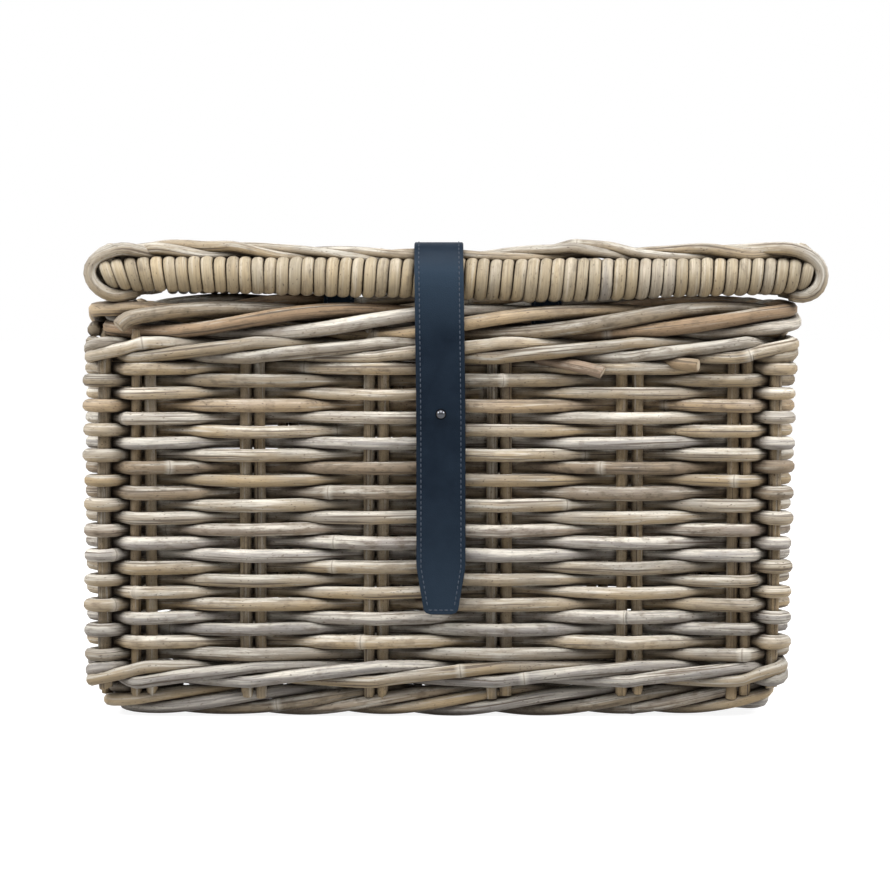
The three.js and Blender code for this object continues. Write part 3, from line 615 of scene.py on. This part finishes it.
def make_stakes():
    """Corner posts of one rod and stake pairs of two, each a little bent and leaning."""
    for node, is_post, (x, y), facing in stakes:
        rods = Rods(node + "_rods", "basket", "rattan", node)
        draw = rods.draw
        outward = np.array([*spoke(facing), 0.0])
        spacing = WIDE_PAIRS.get(node, PAIR_SPACING)
        for offset in ((0,) if is_post else (-spacing / 2, spacing / 2)):
            lean = draw.uniform(-0.5, 0.5)
            foot = POST_FOOT if is_post else STAKE_FOOT + draw.uniform(-1.5, 3)
            bow = draw.uniform(-0.7, 0.7)
            route = []
            for z in np.linspace(foot, STAKE_TOP - 5 * is_post, 9):
                aside = offset + lean * (z - 130) / 110 + bow * math.sin(z / 60)
                route.append((x - math.sin(facing) * aside, y + math.cos(facing) * aside, z))
            # Painted light: stakes get a lighter tint than the weavers, to make up for the shade the weavers
            # cast on them
            tint = (draw.uniform(0.35, 0.75), draw.uniform(1.08, 1.33), draw.uniform(0.1, 0.7))
            size = STAKE * draw.uniform(0.96, 1.03) * (1.1 if is_post else 1.0)
            rods.add(spline(route, 4), size, side=outward, step=8, wave=0.2, tint=tint)
        rods.finish()


def make_rows():
    """The rows of weaving. Odd and even rows pass outside alternate stakes."""
    pitch = (LAST_ROW - FIRST_ROW) / (ROWS - 1)
    reach = STAKE + WEAVER + SLACK
    count = len(stakes)
    for row in range(ROWS):
        parity = (row + 1) % 2
        slot = "dark_rattan" if parity else "rattan"
        rods = Rods(f"weaver_row_{row + 1:02d}", "basket", slot, "wall_weaver_" + "ab"[parity])
        draw = rods.draw
        height = FIRST_ROW + row * pitch + draw.uniform(-0.2, 0.2)
        start = 2 * draw.randrange(6, 11) + parity
        route = []
        for k in range(count + 1):
            index = (start + k) % count
            side = 1 if index % 2 != parity else -1
            over = 2 * WEAVER + 0.4 if k == count else 0
            lift = draw.uniform(-0.35, 0.35)
            route += [(x, y, height + lift) for x, y in passing(index, side, reach + over)]
        thin = draw.uniform(0.96, 1.0)
        size = WEAVER * draw.uniform(0.95, 1.10)
        rods.add(spline(route), size, wave=0.3, step=4.5, taper=(1.03, thin, 1.0, thin))
        rods.finish()


def eased(route, reach=5):
    """The route with its kinks smoothed out over a few steps."""
    padded = np.pad(route, ((reach, reach), (0, 0)), "edge")
    kernel = np.ones(2 * reach + 1) / (2 * reach + 1)
    return np.stack([np.convolve(padded[:, k], kernel, "valid") for k in range(3)], axis=1)


def wale_route(first, arcs, centre):
    """A rod of the three rod wale: over two stakes while it climbs, then down behind the third."""
    reach = STAKE + WALE + SLACK
    route = [(*passing(first - 1, -1, reach + 2 * WALE, 2)[0], centre - 1)]
    for at in range(first, first + 3 * arcs, 3):
        climb = np.array([*passing(at, 1, reach), *passing(at + 1, 1, reach)])
        reached = lengths(climb)
        behind = passing(at + 2, -1, reach)
        lifts = [*(2 * reached / reached[-1] - 1), *((0.5, -0.5) if len(behind) > 1 else (0,))]
        route += [(x, y, centre + WALE_CLIMB * lift) for (x, y), lift in zip([*climb, *behind], lifts)]
    return route


# Where two rods of the top wale end in front of the weaving
WALE_ENDS = (
    [(52, -147, 227.5), (66, -154, 225.5), (78, -161, 223.2), (87, -164.5, 221.0), (92.5, -166, 219.4)],
    [(128, -149, 227.0), (138, -156, 225.6), (147, -162, 224.4), (155.5, -165.5, 223.4)])


def make_wales():
    """Three rods in turn go round, each laid in two lengths."""
    for place, centre in (("bottom", BOTTOM_WALE), ("top", TOP_WALE)):
        for phase in range(3):
            node = f"{place}_wale_rod_{phase + 1}"
            rods = Rods(node + "_cane", "basket", "dark_rattan" if phase == 1 else "rattan", node)
            for first in (phase + 10, phase + 22):
                route = eased(spline(wale_route(first, 4, centre)))
                rods.add(route, WALE * rods.draw.uniform(0.97, 1.04), wave=0.3, step=4.5)
            if place == "top" and phase != 1:
                rods.add(spline(WALE_ENDS[phase // 2], 2), WALE_END, step=3)
            rods.finish()


def rounded_plan(half, radius, step=4.0):
    """Points round a rounded rectangle, their outward angles, and how far round they are."""
    points, angles = [], []
    for i, corner in enumerate(((-1, 1), (-1, -1), (1, -1), (1, 1))):
        for k in range(13):
            angle = math.pi / 2 * (1 + i + k / 12)
            points.append(wall_centre + corner * (half - radius) + radius * spoke(angle))
            angles.append(angle)
    points.append(points[0])
    angles.append(angles[0] + FULL_TURN)
    reached = lengths(points)
    at = np.linspace(0, reached[-1], int(reached[-1] / step), endpoint=False)
    return along(at, reached, points), np.interp(at, reached, angles), at / reached[-1]


def rim_bend(across, front_share):
    """The rim dips a little along the middle of the front, and stands higher at the back."""
    bend = np.clip(1 - across ** 2, 0, 1)
    lift = 2.8 * np.clip(bend * 2.5, 0, 1)
    return np.where(front_share < -0.9, -2.2 * bend, np.where(front_share > 0.9, lift, 0))


def foot_bend(across, front_share):
    """The foot border's corners stand a little off the ground."""
    return np.where(across > 0, 5.0, 2.5) * np.clip(np.abs(across), 0, 1) ** 5


def twisted_strand(plan, height, ring, lead, turns, draw, bend):
    """One strand of a border that twists round its middle line."""
    places, angles, share = plan
    jitter = 0.16 * np.sin(FULL_TURN * (3 * share + draw.random()))
    jitter += 0.10 * np.sin(FULL_TURN * (7 * share + draw.random()))
    swell = 1 + 0.06 * np.sin(FULL_TURN * (5 * share + draw.random()))
    turn = FULL_TURN * (lead / STRANDS + turns * share) + jitter
    out = ring * swell * np.cos(turn)
    x, y = places[:, 0] + out * np.cos(angles), places[:, 1] + out * np.sin(angles)
    z = height + ring * swell * np.sin(turn) + bend(*((places - wall_centre) / wall_half).T)
    return np.stack([x, y, z], axis=1)


def front_index(plan, x):
    """The point of a border's plan at the given x along the front."""
    places = plan[0]
    return np.argmin(np.where(places[:, 1] < wall_low[1] + 8, np.abs(places[:, 0] - x), np.inf))


def make_border(name, plan, height, ring, radius, turns, slots, bend, outermost, cut_at=None):
    """A border of twisted strands. The first is outermost at one x along the front, and may be cut."""
    start = -turns * plan[2][front_index(plan, outermost)] * STRANDS
    for strand in range(STRANDS):
        rods = Rods(f"{name}_strand_{strand + 1}", "basket", slots[strand % len(slots)], name + "_border")
        route = twisted_strand(plan, height, ring, strand + start, turns, rods.draw, bend)
        size = radius * rods.draw.uniform(0.96, 1.04)
        if strand == 0 and cut_at is not None:
            route = np.roll(route, -front_index(plan, cut_at), axis=0)
            bent = route[0] + np.array([(-7.5, -4.0, -5.5), (-3.5, -2.4, -1.6)])
            route = np.vstack([bent, route[1:-9], route[-6] + np.array([0, 12, -4])])
            rods.add(spline(route, 2), size, step=3.5, taper=(1.05, 1.0, 1.0, 1.0))
        else:
            rods.add(spline(route, 2, closed=True), size, closed=True, step=3.5)
        rods.finish()


def make_borders():
    rim = rounded_plan(wall_half + np.array([1.5, -1.0]), 15)
    make_border("rim", rim, RIM_HEIGHT, RIM_RING, RIM_STRAND, RIM_TURNS,
                ["rattan", "rattan", "dark_rattan"], rim_bend, RIM_OUTERMOST, RIM_CUT)
    foot = rounded_plan(wall_half - np.array([7.2, 6.5]), 12)
    make_border("foot", foot, FOOT_HEIGHT, FOOT_RING, FOOT_STRAND, FOOT_TURNS,
                ["dark_rattan", "rattan"], foot_bend, 0.0)


def make_base():
    """Three sticks from side to side, and the rods woven across them."""
    stick_y = []
    for i in (1, 2, 3):
        node = f"base_stick_{i}"
        low, high = box(node)
        stick_y.append(middle(node)[1])
        straight_rod(node + "_rod", "basket", node, (low[0], stick_y[-1], BASE_HEIGHT),
                     (high[0], stick_y[-1], BASE_HEIGHT), BASE_STICK, step=10, wave=0.4)
    low, high = box("base_weave")
    rods = Rods("base_weavers", "basket", "dark_rattan", "base_weave")
    reach = BASE_STICK + BASE_ROD
    count = int((high[0] - low[0] - 2) / (2 * BASE_ROD + 0.5))
    for k, x in enumerate(np.linspace(low[0] + 1 + BASE_ROD, high[0] - 1 - BASE_ROD, count)):
        inset = 1 + 6 * max(0, abs(x - wall_centre[0]) - 180) / 20
        swing = [reach if (i + k) % 2 else -reach for i in range(3)]
        route = [(x, low[1] + inset, BASE_HEIGHT - 0.4 * swing[0])]
        for y, lift in zip(stick_y, swing):
            for off in (-2.5, 2.5):
                route.append((x + rods.draw.uniform(-0.3, 0.3), y + off, BASE_HEIGHT + lift))
        route.append((x, high[1] - inset, BASE_HEIGHT - 0.4 * swing[2]))
        rods.add(spline(route, 2), BASE_ROD, sides=8, step=7, wave=0.2)
    rods.finish()


# The lid
bar_y = middle("lid_front_bar")[1]
back_axis = middle("lid_back_rod")
SIDE_BARS = ("lid_left_bar", "lid_right_bar")
LID_PAIRS = [f"lid_stake_pair_{i}" for i in (1, 2, 3, 4)]
lid_plane = middle(LID_PAIRS[0])[2]
# Across the lid: where along the wrapped bar, its radius outside the wrapping, and its height
BAR_PROFILE = np.array([
    (-222, 11.2, 281.6), (-190, 11.6, 281.5), (-128, 12.0, 280.6), (-66, 12.9, 279.2), (-8, 13.2, 278.6),
    (47, 14.1, 277.3), (80, 14.0, 277.4), (139, 12.8, 278.8), (199, 12.0, 280.0), (225, 11.4, 281.0)])
# How far the top of a turn of the wrapping lies to the right of its bottom, from the left end to the right
WRAP_LEAN = ((-1.0, -6.0), (-0.93, -4.5), (-0.82, -1.5), (-0.6, 0.8), (-0.3, 2.6), (0.0, 4.0), (0.35, 3.4),
             (0.7, 2.6), (0.9, 3.6), (1.0, 5.5))
# Where the lid's weavers turn round its side bars, in degrees from straight out
LID_TURNS = (-115, -75, -35, 0, 35, 75, 105)


def bar_at(x):
    """The wrapped bar's radius and height."""
    return along(x, BAR_PROFILE[:, 0], BAR_PROFILE[:, 1:])


def wrapped_turn(x, pitch, sway, y, z, radius, facing, steps):
    """One turn of cane round a bar, which moves on by the pitch and sways."""
    route = []
    for k in range(steps + 1):
        angle = math.pi * (2 * k / steps - 1)
        route.append((x + pitch * angle / FULL_TURN + sway * math.sin(angle),
                      y + facing * radius * math.cos(angle), z + radius * math.sin(angle)))
    return spline(route, 1.5)


def make_front_bar():
    """The lid's front bar, and the cane wrapped round it."""
    rods = Rods("lid_front_bar_cane", "lid", "rattan", "lid_front_bar")
    route = [(x, bar_y, bar_at(x)[1]) for x in np.linspace(-212, 213, 24)]
    rods.add(spline(route, 3), FRONT_BAR, sides=14, step=8)
    rods.finish()
    wraps = Rods("lid_front_bar_wrapping", "lid", "rattan_peel", "lid_front_wrap")
    draw = wraps.draw
    first, last = BAR_PROFILE[0, 0] + 3.5, BAR_PROFILE[-1, 0] - 3.5
    pitch = (last - first) / (WRAPS - 1)
    for i in range(WRAPS):
        x = first + i * pitch
        share = 2 * i / (WRAPS - 1) - 1
        lean = np.interp(share, *zip(*WRAP_LEAN)) + draw.uniform(-0.6, 0.6)
        radius, height = bar_at(x)
        radius += draw.uniform(-0.3, 0.25) - PEEL / 2
        radius -= 0.9 * max(0.0, abs(share) - 0.955) / 0.045
        route = wrapped_turn(x, pitch, (lean - pitch / 2) / 2, bar_y, height, radius, -1, 28)
        warmth = min(0.7, max(0, draw.gauss(0.42 - 0.14 * share, 0.14)))
        tint = (warmth, draw.uniform(0.88, 1.08), draw.uniform(0.1, 0.7))
        wraps.add(route, pitch / 2 - 0.06, side=ALONG_X, sides=14, step=3.2, thickness=PEEL / 2,
                  wave=0.1, tint=tint)
    wraps.finish()


def make_back_rod():
    """The lid's back rod, wrapped where no hinge strap goes round it."""
    low, high = box("lid_back_rod")
    y, z = back_axis[1:]
    straight_rod("lid_back_rod_cane", "lid", "lid_back_rod", (low[0], y, z), (high[0], y, z), BACK_BAR,
                 sides=16, step=8)
    hinges = [middle(node)[0] for node in HINGES]
    wraps = Rods("lid_back_rod_wrapping", "lid", "rattan_peel")
    pitch = (high[0] - low[0]) / BACK_WRAPS
    for i in range(BACK_WRAPS):
        x = low[0] + (i + 0.5) * pitch
        if min(abs(x - hinge) for hinge in hinges) < HINGE_HALF_GAP:
            continue
        radius = BACK_BAR + BACK_PEEL / 2 + wraps.draw.uniform(-0.1, 0.25)
        route = wrapped_turn(x, pitch / 2, 0, y, z, radius, 1, 24)
        wraps.add(route, pitch / 2 - 0.12, side=ALONG_X, sides=12, step=3.2, thickness=BACK_PEEL / 2,
                  wave=0.1, square=0.9)
    wraps.finish()


def make_lid_frame():
    """The lid's side bars, and its stakes in pairs."""
    for node in SIDE_BARS:
        x, _, z = middle(node)
        straight_rod(node + "_cane", "lid", node, (x, bar_y - 2, z), (x, box(node)[1][1], z), LID_SIDE_BAR,
                     sides=16, step=9)
    for node in LID_PAIRS:
        x = middle(node)[0]
        rods = Rods(node + "_rods", "lid", "rattan", node)
        for px in (x - LID_STAKE - 0.2, x + LID_STAKE + 0.2):
            rods.add([(px, bar_y + 8, lid_plane), (px, back_axis[1] - 8.5, lid_plane)], LID_STAKE,
                     step=9, wave=0.25)
        rods.finish()


def make_lid_panel():
    """The lid's weavers turn round the side bars and pass over and under the stake pairs."""
    low, high = box("lid_weave")
    reach = LID_STAKE + LID_ROD + 0.1
    loop = LID_SIDE_BAR + LID_ROD + 0.2
    rods = Rods("lid_weavers", "lid", "rattan", "lid_weave", "lid_left_loops", "lid_right_loops")
    for row in range(LID_ROWS):
        y = low[1] + (row + 0.5) * (high[1] - low[1]) / LID_ROWS
        left, right = [[(x + way * loop * math.cos(turn), y - (0.6 * (2 - turn) if turn < 1 else 0),
                         z + loop * math.sin(turn)) for turn in np.radians(LID_TURNS)]
                       for (x, _, z), way in zip(map(middle, SIDE_BARS), (-1, 1))]
        route = left
        for i, node in enumerate(LID_PAIRS):
            x = middle(node)[0]
            height = lid_plane + (-reach if (i + row) % 2 else reach)
            route += [(x - 4, y, height), (x + 4, y, height)]
        route += right[::-1]
        size = LID_ROD * rods.draw.uniform(0.96, 1.03)
        rods.add(spline(route, 2), size, side=ALONG_Y, sides=8, wave=0.25)
    rods.finish()


# The rods along the lid's front turn round its ends, as pairs of x and height from below to the top
LEFT_TURN = ((-203, 269.8), (-213, 267.8), (-221.5, 270.2), (-228, 276.2), (-230, 283.5), (-226.5, 290.2),
             (-218.5, 294.6), (-208, 297.0))
RIGHT_TURN = ((209, 269.6), (219.5, 267.4), (227.5, 270.8), (231, 277.5), (230.6, 284.5), (225.5, 291.2),
              (217, 295.4), (208, 297.2))
TURN_HEIGHT = 282.5
# Their top edge along the lid
TOP_EDGE = ((-200, 302.0), (-182, 303.2), (-158, 301.5), (-140, 303.4), (-112, 300.4), (-30, 297.9),
            (16, 296.6), (61, 300.8), (74, 303.4), (99, 302.2), (115, 299.6), (137, 299.4), (160, 301.4),
            (183, 300.0), (200, 300.8))
LID_FRONT_TINTS = ((0.30, 0.98, 0.5), (0.58, 0.88, 0.6), (0.40, 0.95, 0.6))
LID_FRONT_TAPER = (1.35, 1.3, 1.0, 0.96, 1.0, 0.96, 1.0, 1.25, 1.35)


def turn_route(turn, strand):
    """A rod's way round one end of the lid's front, ending out of sight behind the wrapping."""
    inward = (0.0, 2.6, 1.6)[strand] / 12.0
    route = []
    for i, (x, z) in enumerate(turn):
        y = bar_y - 5.5 + 7.0 * strand + 4.5 * max(0, 2 - i)
        route.append((x * (1 - inward * 0.055), y, TURN_HEIGHT + (z - TURN_HEIGHT) * (1 - inward)))
    return route


def make_lid_front():
    """The rods twisted along the top of the wrapped bar, which turn round its ends."""
    for strand, tint in enumerate(LID_FRONT_TINTS):
        slot = "dark_rattan" if strand == 1 else "rattan"
        rods = Rods(f"lid_front_strand_{strand + 1}", "lid", slot, "lid_front_border")
        phase = rods.draw.uniform(-0.2, 0.2)
        route = turn_route(LEFT_TURN, strand)
        for x in np.arange(-190, 191, 6.0):
            turn = FULL_TURN * (x / 152 + strand / 3) + phase
            lift = 3.0 * (1 - 0.7 * math.exp(-((x + 9) / 30) ** 2))
            top = np.interp(x, *zip(*TOP_EDGE))
            route.append((x, bar_y + 3.6 + 4.0 * math.cos(turn), top - 3.4 - lift + lift * math.sin(turn)))
        route += turn_route(RIGHT_TURN, strand)[::-1]
        rods.add(spline(route, 2), LID_FRONT_STRAND, side=ALONG_Y, sides=12, wave=0.3, step=4,
                 taper=LID_FRONT_TAPER, tint=tint)
        rods.finish()


# Leather
def corner_cut(distance, radius):
    """How far a rounded corner draws an edge in, at a distance from the end."""
    return radius - math.sqrt(max(radius ** 2 - max(radius - distance, 0) ** 2, 0))


def loft_band(name, line, widths, thickness, closed=False):
    """A band of leather with rounded edges along a line of points, with its half width at each."""
    line, widths = np.asarray(line, float), np.array(widths)[:, None]
    normal = np.cross(directions(line, closed), ALONG_X)
    outline = []
    for face in (1, -1):
        outline += [(share, 0.0, face) for share in face * np.linspace(-1, 1, 9)]
        outline += [(face, math.sin(turn), face * math.cos(turn)) for turn in np.radians(range(30, 151, 30))]
    share, bulge, level = np.transpose(outline)
    aside = share * (np.maximum(widths - LEATHER_EDGE, 0.2) + np.minimum(widths, LEATHER_EDGE) * bulge)
    rings = line[:, None] + ALONG_X * aside[..., None] + normal[:, None] * (thickness / 2 * level)[:, None]
    if closed:
        return mesh_object(name, rings.reshape(-1, 3), [tube(*rings.shape[:2], True)], "navy_leather")
    return capped(name, rings, rings[[0, -1]].mean(axis=1), "navy_leather")


def stitches(name, places, length=2.3, radius=0.38):
    """Short stitches, each given by its middle, its direction and the surface's normal."""
    profile = ((-0.5, 0.25), (-0.38, 0.8), (0.0, 1.0), (0.38, 0.8), (0.5, 0.25))
    count, sides = len(profile), 6
    local = []
    for share, size in profile:
        for angle in FULL_TURN * np.arange(sides) / sides:
            lift = radius * size * math.sin(angle) + 0.16 * (1 - abs(2 * share)) - 0.05
            local.append((share * length, radius * size * math.cos(angle), lift))
    top = (count - 1) * sides + np.array([(0, 1, 2, 3), (3, 4, 5, 0)])
    quads = np.vstack([tube(count, sides), [(3, 2, 1, 0), (0, 5, 4, 3)], top])
    points = [spot + local @ np.array([way, np.cross(way, normal), normal]) for spot, way, normal in places]
    faces = [quads + i * count * sides for i in range(len(places))]
    return mesh_object(name, np.concatenate(points), faces, "thread")


def strap_line():
    """The strap's middle line from its end on the lid, over the bar and down to its tip."""
    low, high = box("strap_tail")
    x = (low[0] + high[0]) / 2
    face = low[1] + LEATHER / 2
    bed = box("strap_rivet_1")[1][2] - 1.7 - LEATHER / 2
    start = box("strap_anchor")[1][1]
    points = [(start, bed), (-112, bed), (-130, bed + 0.6), (-142, 299.2), (-149, 300.0), (-155.5, 297.8),
              (-161.2, 292.0), (-164.4, 285.5)]
    points += [(face, z) for z in (277.0, 262, 240, 200, 150, 100, STRAP_TIP)]
    lean = STRAP_LEAN * np.clip((np.array(points)[:, 1] - 190) / 100, 0, 1)
    line = spline([(x + aside, y, z) for (y, z), aside in zip(points, lean)], 1.2)
    reached = lengths(line)
    whole = reached[-1]
    stations = np.concatenate([np.arange(0, whole - 8, 2.5), np.linspace(whole - 7.5, whole, 12)])
    return along(stations, reached, line), stations, whole


def strap_half_width(to_tip):
    share = min(to_tip / STRAP_POINT, 1)
    width = STRAP_TIP_WIDTH / 2 + (STRAP_WIDTH - STRAP_TIP_WIDTH) / 2 * share
    return width - corner_cut(to_tip, STRAP_TIP_CORNER)


def cut_keyhole(strap, stud, face):
    """The strap's hole for the stud, with the slit above it that lets the ball through."""
    outline = [HOLE * spoke(angle) for angle in np.radians(np.linspace(100, 440, 21))]
    outline += [(SLIT, SLIT_TOP), (-SLIT, SLIT_TOP)]
    count = len(outline)
    points = [(stud[0] + x, face + y, stud[2] + z) for y in (-2 * LEATHER, 2 * LEATHER) for x, z in outline]
    ring = np.arange(count)[None]
    cutter = mesh_object("keyhole", points, [tube(2, count), ring[:, ::-1], ring + count], "thread")
    bpy.context.view_layer.update()
    hole = strap.modifiers.new("keyhole", "BOOLEAN")
    hole.operation, hole.solver, hole.object = "DIFFERENCE", "EXACT", cutter
    shape = strap.evaluated_get(bpy.context.evaluated_depsgraph_get())
    strap.data = bpy.data.meshes.new_from_object(shape)
    strap.modifiers.clear()
    bpy.data.objects.remove(cutter)


def make_strap():
    """The strap and its seams, which bend where the hanging part leaves the lid."""
    line, stations, whole = strap_line()
    widths = [max(strap_half_width(whole - at) - corner_cut(at, LEATHER_CORNER), 1.2) for at in stations]
    strap = loft_band("closing_strap", line, widths, LEATHER)
    cut_keyhole(strap, middle("closing_stud"), line[-1][1])
    tangent = directions(line)
    normal = np.cross(tangent, ALONG_X)
    narrowing = (STRAP_WIDTH - STRAP_TIP_WIDTH) / 2 / STRAP_POINT
    places = []
    for edge in (-1, 1):
        for at in np.arange(5, whole - 4.5, STITCH_PITCH):
            width = strap_half_width(max(whole - at, LEATHER_CORNER)) - STITCH_INSET
            spot, way, facing = [along(at, stations, values) for values in (line, tangent, normal)]
            if whole - at < STRAP_POINT:
                way = unit(way - ALONG_X * edge * narrowing)
            for out in (facing, -facing):
                places.append((spot + ALONG_X * edge * width + out * LEATHER / 2, way, out))
    tip = along(whole - 2.8, stations, line)
    for k in range(-2, 3):
        for out in (normal[-1], -normal[-1]):
            places.append((tip + ALONG_X * k * STITCH_PITCH + out * LEATHER / 2, ALONG_X, out))
    thread = stitches("closing_strap_stitches", places)
    for piece in (strap, thread):
        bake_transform(piece)
    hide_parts("strap_anchor", "strap_tail")


def make_hinge_straps():
    """Two loops of leather, each round the lid's back rod and the rim."""
    half = HINGE_LEATHER / 2
    arcs = ((0, HINGE_TOP + half, *back_axis[1:]), (1, HINGE_FOOT + half, wall_high[1] - 1, RIM_HEIGHT - 1))
    for node in HINGES:
        low, high = box(node)
        x, width = (low[0] + high[0]) / 2, (high[0] - low[0]) / 2
        points = []
        for start, reach, y, z in arcs:
            for k in range(13):
                angle = math.pi * (start + k / 12)
                points.append((x, y + reach * math.cos(angle), z + reach * math.sin(angle)))
        line = spline(points, 2.5, closed=True)[:-1]
        strap = loft_band(node + "_leather", line, [width] * len(line), HINGE_LEATHER, closed=True)
        seat(strap, "basket", "navy_leather", node)
        reached = lengths(line)
        tangent = directions(line, closed=True)
        normal = np.cross(tangent, ALONG_X)
        places = []
        for edge in (-1, 1):
            for at in np.arange(1, reached[-1], STITCH_PITCH):
                i = np.argmin(np.abs(reached - at))
                spot = along(at, reached, line) + ALONG_X * edge * (width - HINGE_STITCH_INSET)
                places.append((spot + normal[i] * half, tangent[i], normal[i]))
        seat(stitches(node + "_stitches", places), "basket", "navy_leather")


# Metal
def turned(node, body, profile, centre, axis):
    """A turned steel piece: pairs of radius and distance along its axis from the centre."""
    angle = FULL_TURN * np.arange(32)[:, None] / 32
    spokes = ALONG_X * np.cos(angle) + np.cross(axis, ALONG_X) * np.sin(angle)
    rings = np.array([centre + axis * ahead + spokes * max(radius, 0.01) for radius, ahead in profile])
    ends = [centre + axis * profile[end][1] for end in (0, -1)]
    seat(capped(node + "_turned", rings, ends, "steel"), body, "steel", node)


def make_stud():
    """The ball stud, with its nut behind the wall."""
    low, high = box("closing_stud")
    x, _, z = middle("closing_stud")
    shank_end = high[1] - low[1]
    flange = 4.3 + 2 * BALL
    profile = [(0.0, shank_end), (1.5, shank_end), (1.5, flange + 2.2), (6.0, flange + 2.0),
               (6.0, flange + 0.8), (5.4, flange), (2.2, flange), (1.8, flange - 0.8)]
    profile += [(BALL * math.sin(angle), BALL + BALL * math.cos(angle))
                for angle in np.radians(np.linspace(30, 180, 15))]
    turned("closing_stud", "basket", profile, (x, low[1], z), ALONG_Y)
    low, high = box("stud_nut")
    deep = high[1] - low[1]
    nut = [(1.6, 0), (3.3, 0), (3.6, 0.4), (3.6, 2.7), (3.3, 3.0), (6.6, 3.0), (7.0, 3.3), (7.0, deep - 0.3),
           (6.7, deep), (1.6, deep)]
    turned("stud_nut", "basket", nut, (x, low[1], z), ALONG_Y)


def make_backing():
    """The patch of leather that the stud goes through, with rounded corners."""
    low, high = box("stud_backing")
    x, y, _ = middle("stud_backing")
    heights = np.concatenate([np.linspace(low[2], low[2] + 6, 8), np.linspace(low[2] + 8, high[2] - 8, 8),
                              np.linspace(high[2] - 6, high[2], 8)])
    line = [(x, y, height) for height in heights]
    half = (high[0] - low[0]) / 2
    to_end = np.minimum(heights - low[2], high[2] - heights)
    widths = [half - corner_cut(distance, LEATHER_CORNER) for distance in to_end]
    patch = loft_band("stud_backing_leather", line, widths, high[1] - low[1])
    seat(patch, "basket", "navy_leather", "stud_backing")


def make_rivets():
    """The two rivets that hold the strap to the lid."""
    for node in ("strap_rivet_1", "strap_rivet_2"):
        low, high = box(node)
        x, y, _ = middle(node)
        foot = low[2] - high[2] + 1.6
        profile = [(0.0, foot), (4.0, foot + 0.2), (4.0, foot + 1.4), (1.7, foot + 1.6), (1.7, 0.0),
                   (4.0, 0.05), (3.9, 0.6), (3.1, 1.2), (1.6, 1.5), (0.0, 1.6)]
        turned(node, "lid", profile, (x, y, high[2] - 1.6), UP)


# The studio
def make_camera():
    camera = linked(bpy.data.objects.new("camera", bpy.data.cameras.new("camera")))
    camera.data.lens = 128.0
    camera.data.sensor_width = 36.0
    camera.location = (-0.0061, -2.154, 0.278)
    camera.rotation_euler = (math.radians(90 - 3.0), 0, 0)
    bpy.context.scene.camera = camera


def make_floor():
    half, height = 12000.0, -0.3
    corners = [(x * half, y * half, height) for x, y in ((-1, -1), (1, -1), (1, 1), (-1, 1))]
    mesh_object("floor", corners, [np.array([[0, 1, 2, 3]])], "floor")


def make_world():
    """White to the camera and in reflections, and else soft light, weaker from the front."""
    world = bpy.data.worlds.new("studio")
    bpy.context.scene.world = world
    n = Nodes(world)
    path = n.add("LightPath", {}).outputs
    seen = n.maths("MAXIMUM", path["Is Camera Ray"], path["Is Transmission Ray"])
    seen = n.maths("MAXIMUM", seen, path["Is Glossy Ray"])
    backward = n.split(n.place("Generated"))[1]
    soft = n.add("Background", {"Color": WHITE, "Strength": n.ranged(backward, -0.35, 0.5, 0.05, 0.6)})
    plain = n.add("Background", {"Color": WHITE, "Strength": 1.0})
    n.finish(n.add("MixShader", {0: seen, 1: soft.outputs[0], 2: plain.outputs[0]}), "OutputWorld")


def make_lamps():
    """Three square lamps, each with its place, its size in metres and its power."""
    target = Vector((0, 0, 0.15))
    for name, place, size, power in (
            ("left", (-1.7, -0.8, 1.4), 1.1, 40), ("right", (1.7, -0.8, 1.4), 1.1, 34),
            ("top", (0.0, -1.15, 2.1), 1.7, 45)):
        lamp = linked(bpy.data.objects.new(name, bpy.data.lights.new(name, "AREA")))
        lamp.data.size = size
        lamp.data.energy = power
        lamp.location = place
        lamp.rotation_euler = (target - Vector(place)).to_track_quat("-Z", "Y").to_euler()


make_camera()
make_stakes()
make_rows()
make_wales()
make_borders()
make_base()
make_front_bar()
make_back_rod()
make_lid_frame()
make_lid_panel()
make_lid_front()
make_strap()
make_hinge_straps()
make_stud()
make_backing()
make_rivets()
make_floor()
make_world()
make_lamps()

bpy.context.scene.view_settings.view_transform = "Standard"
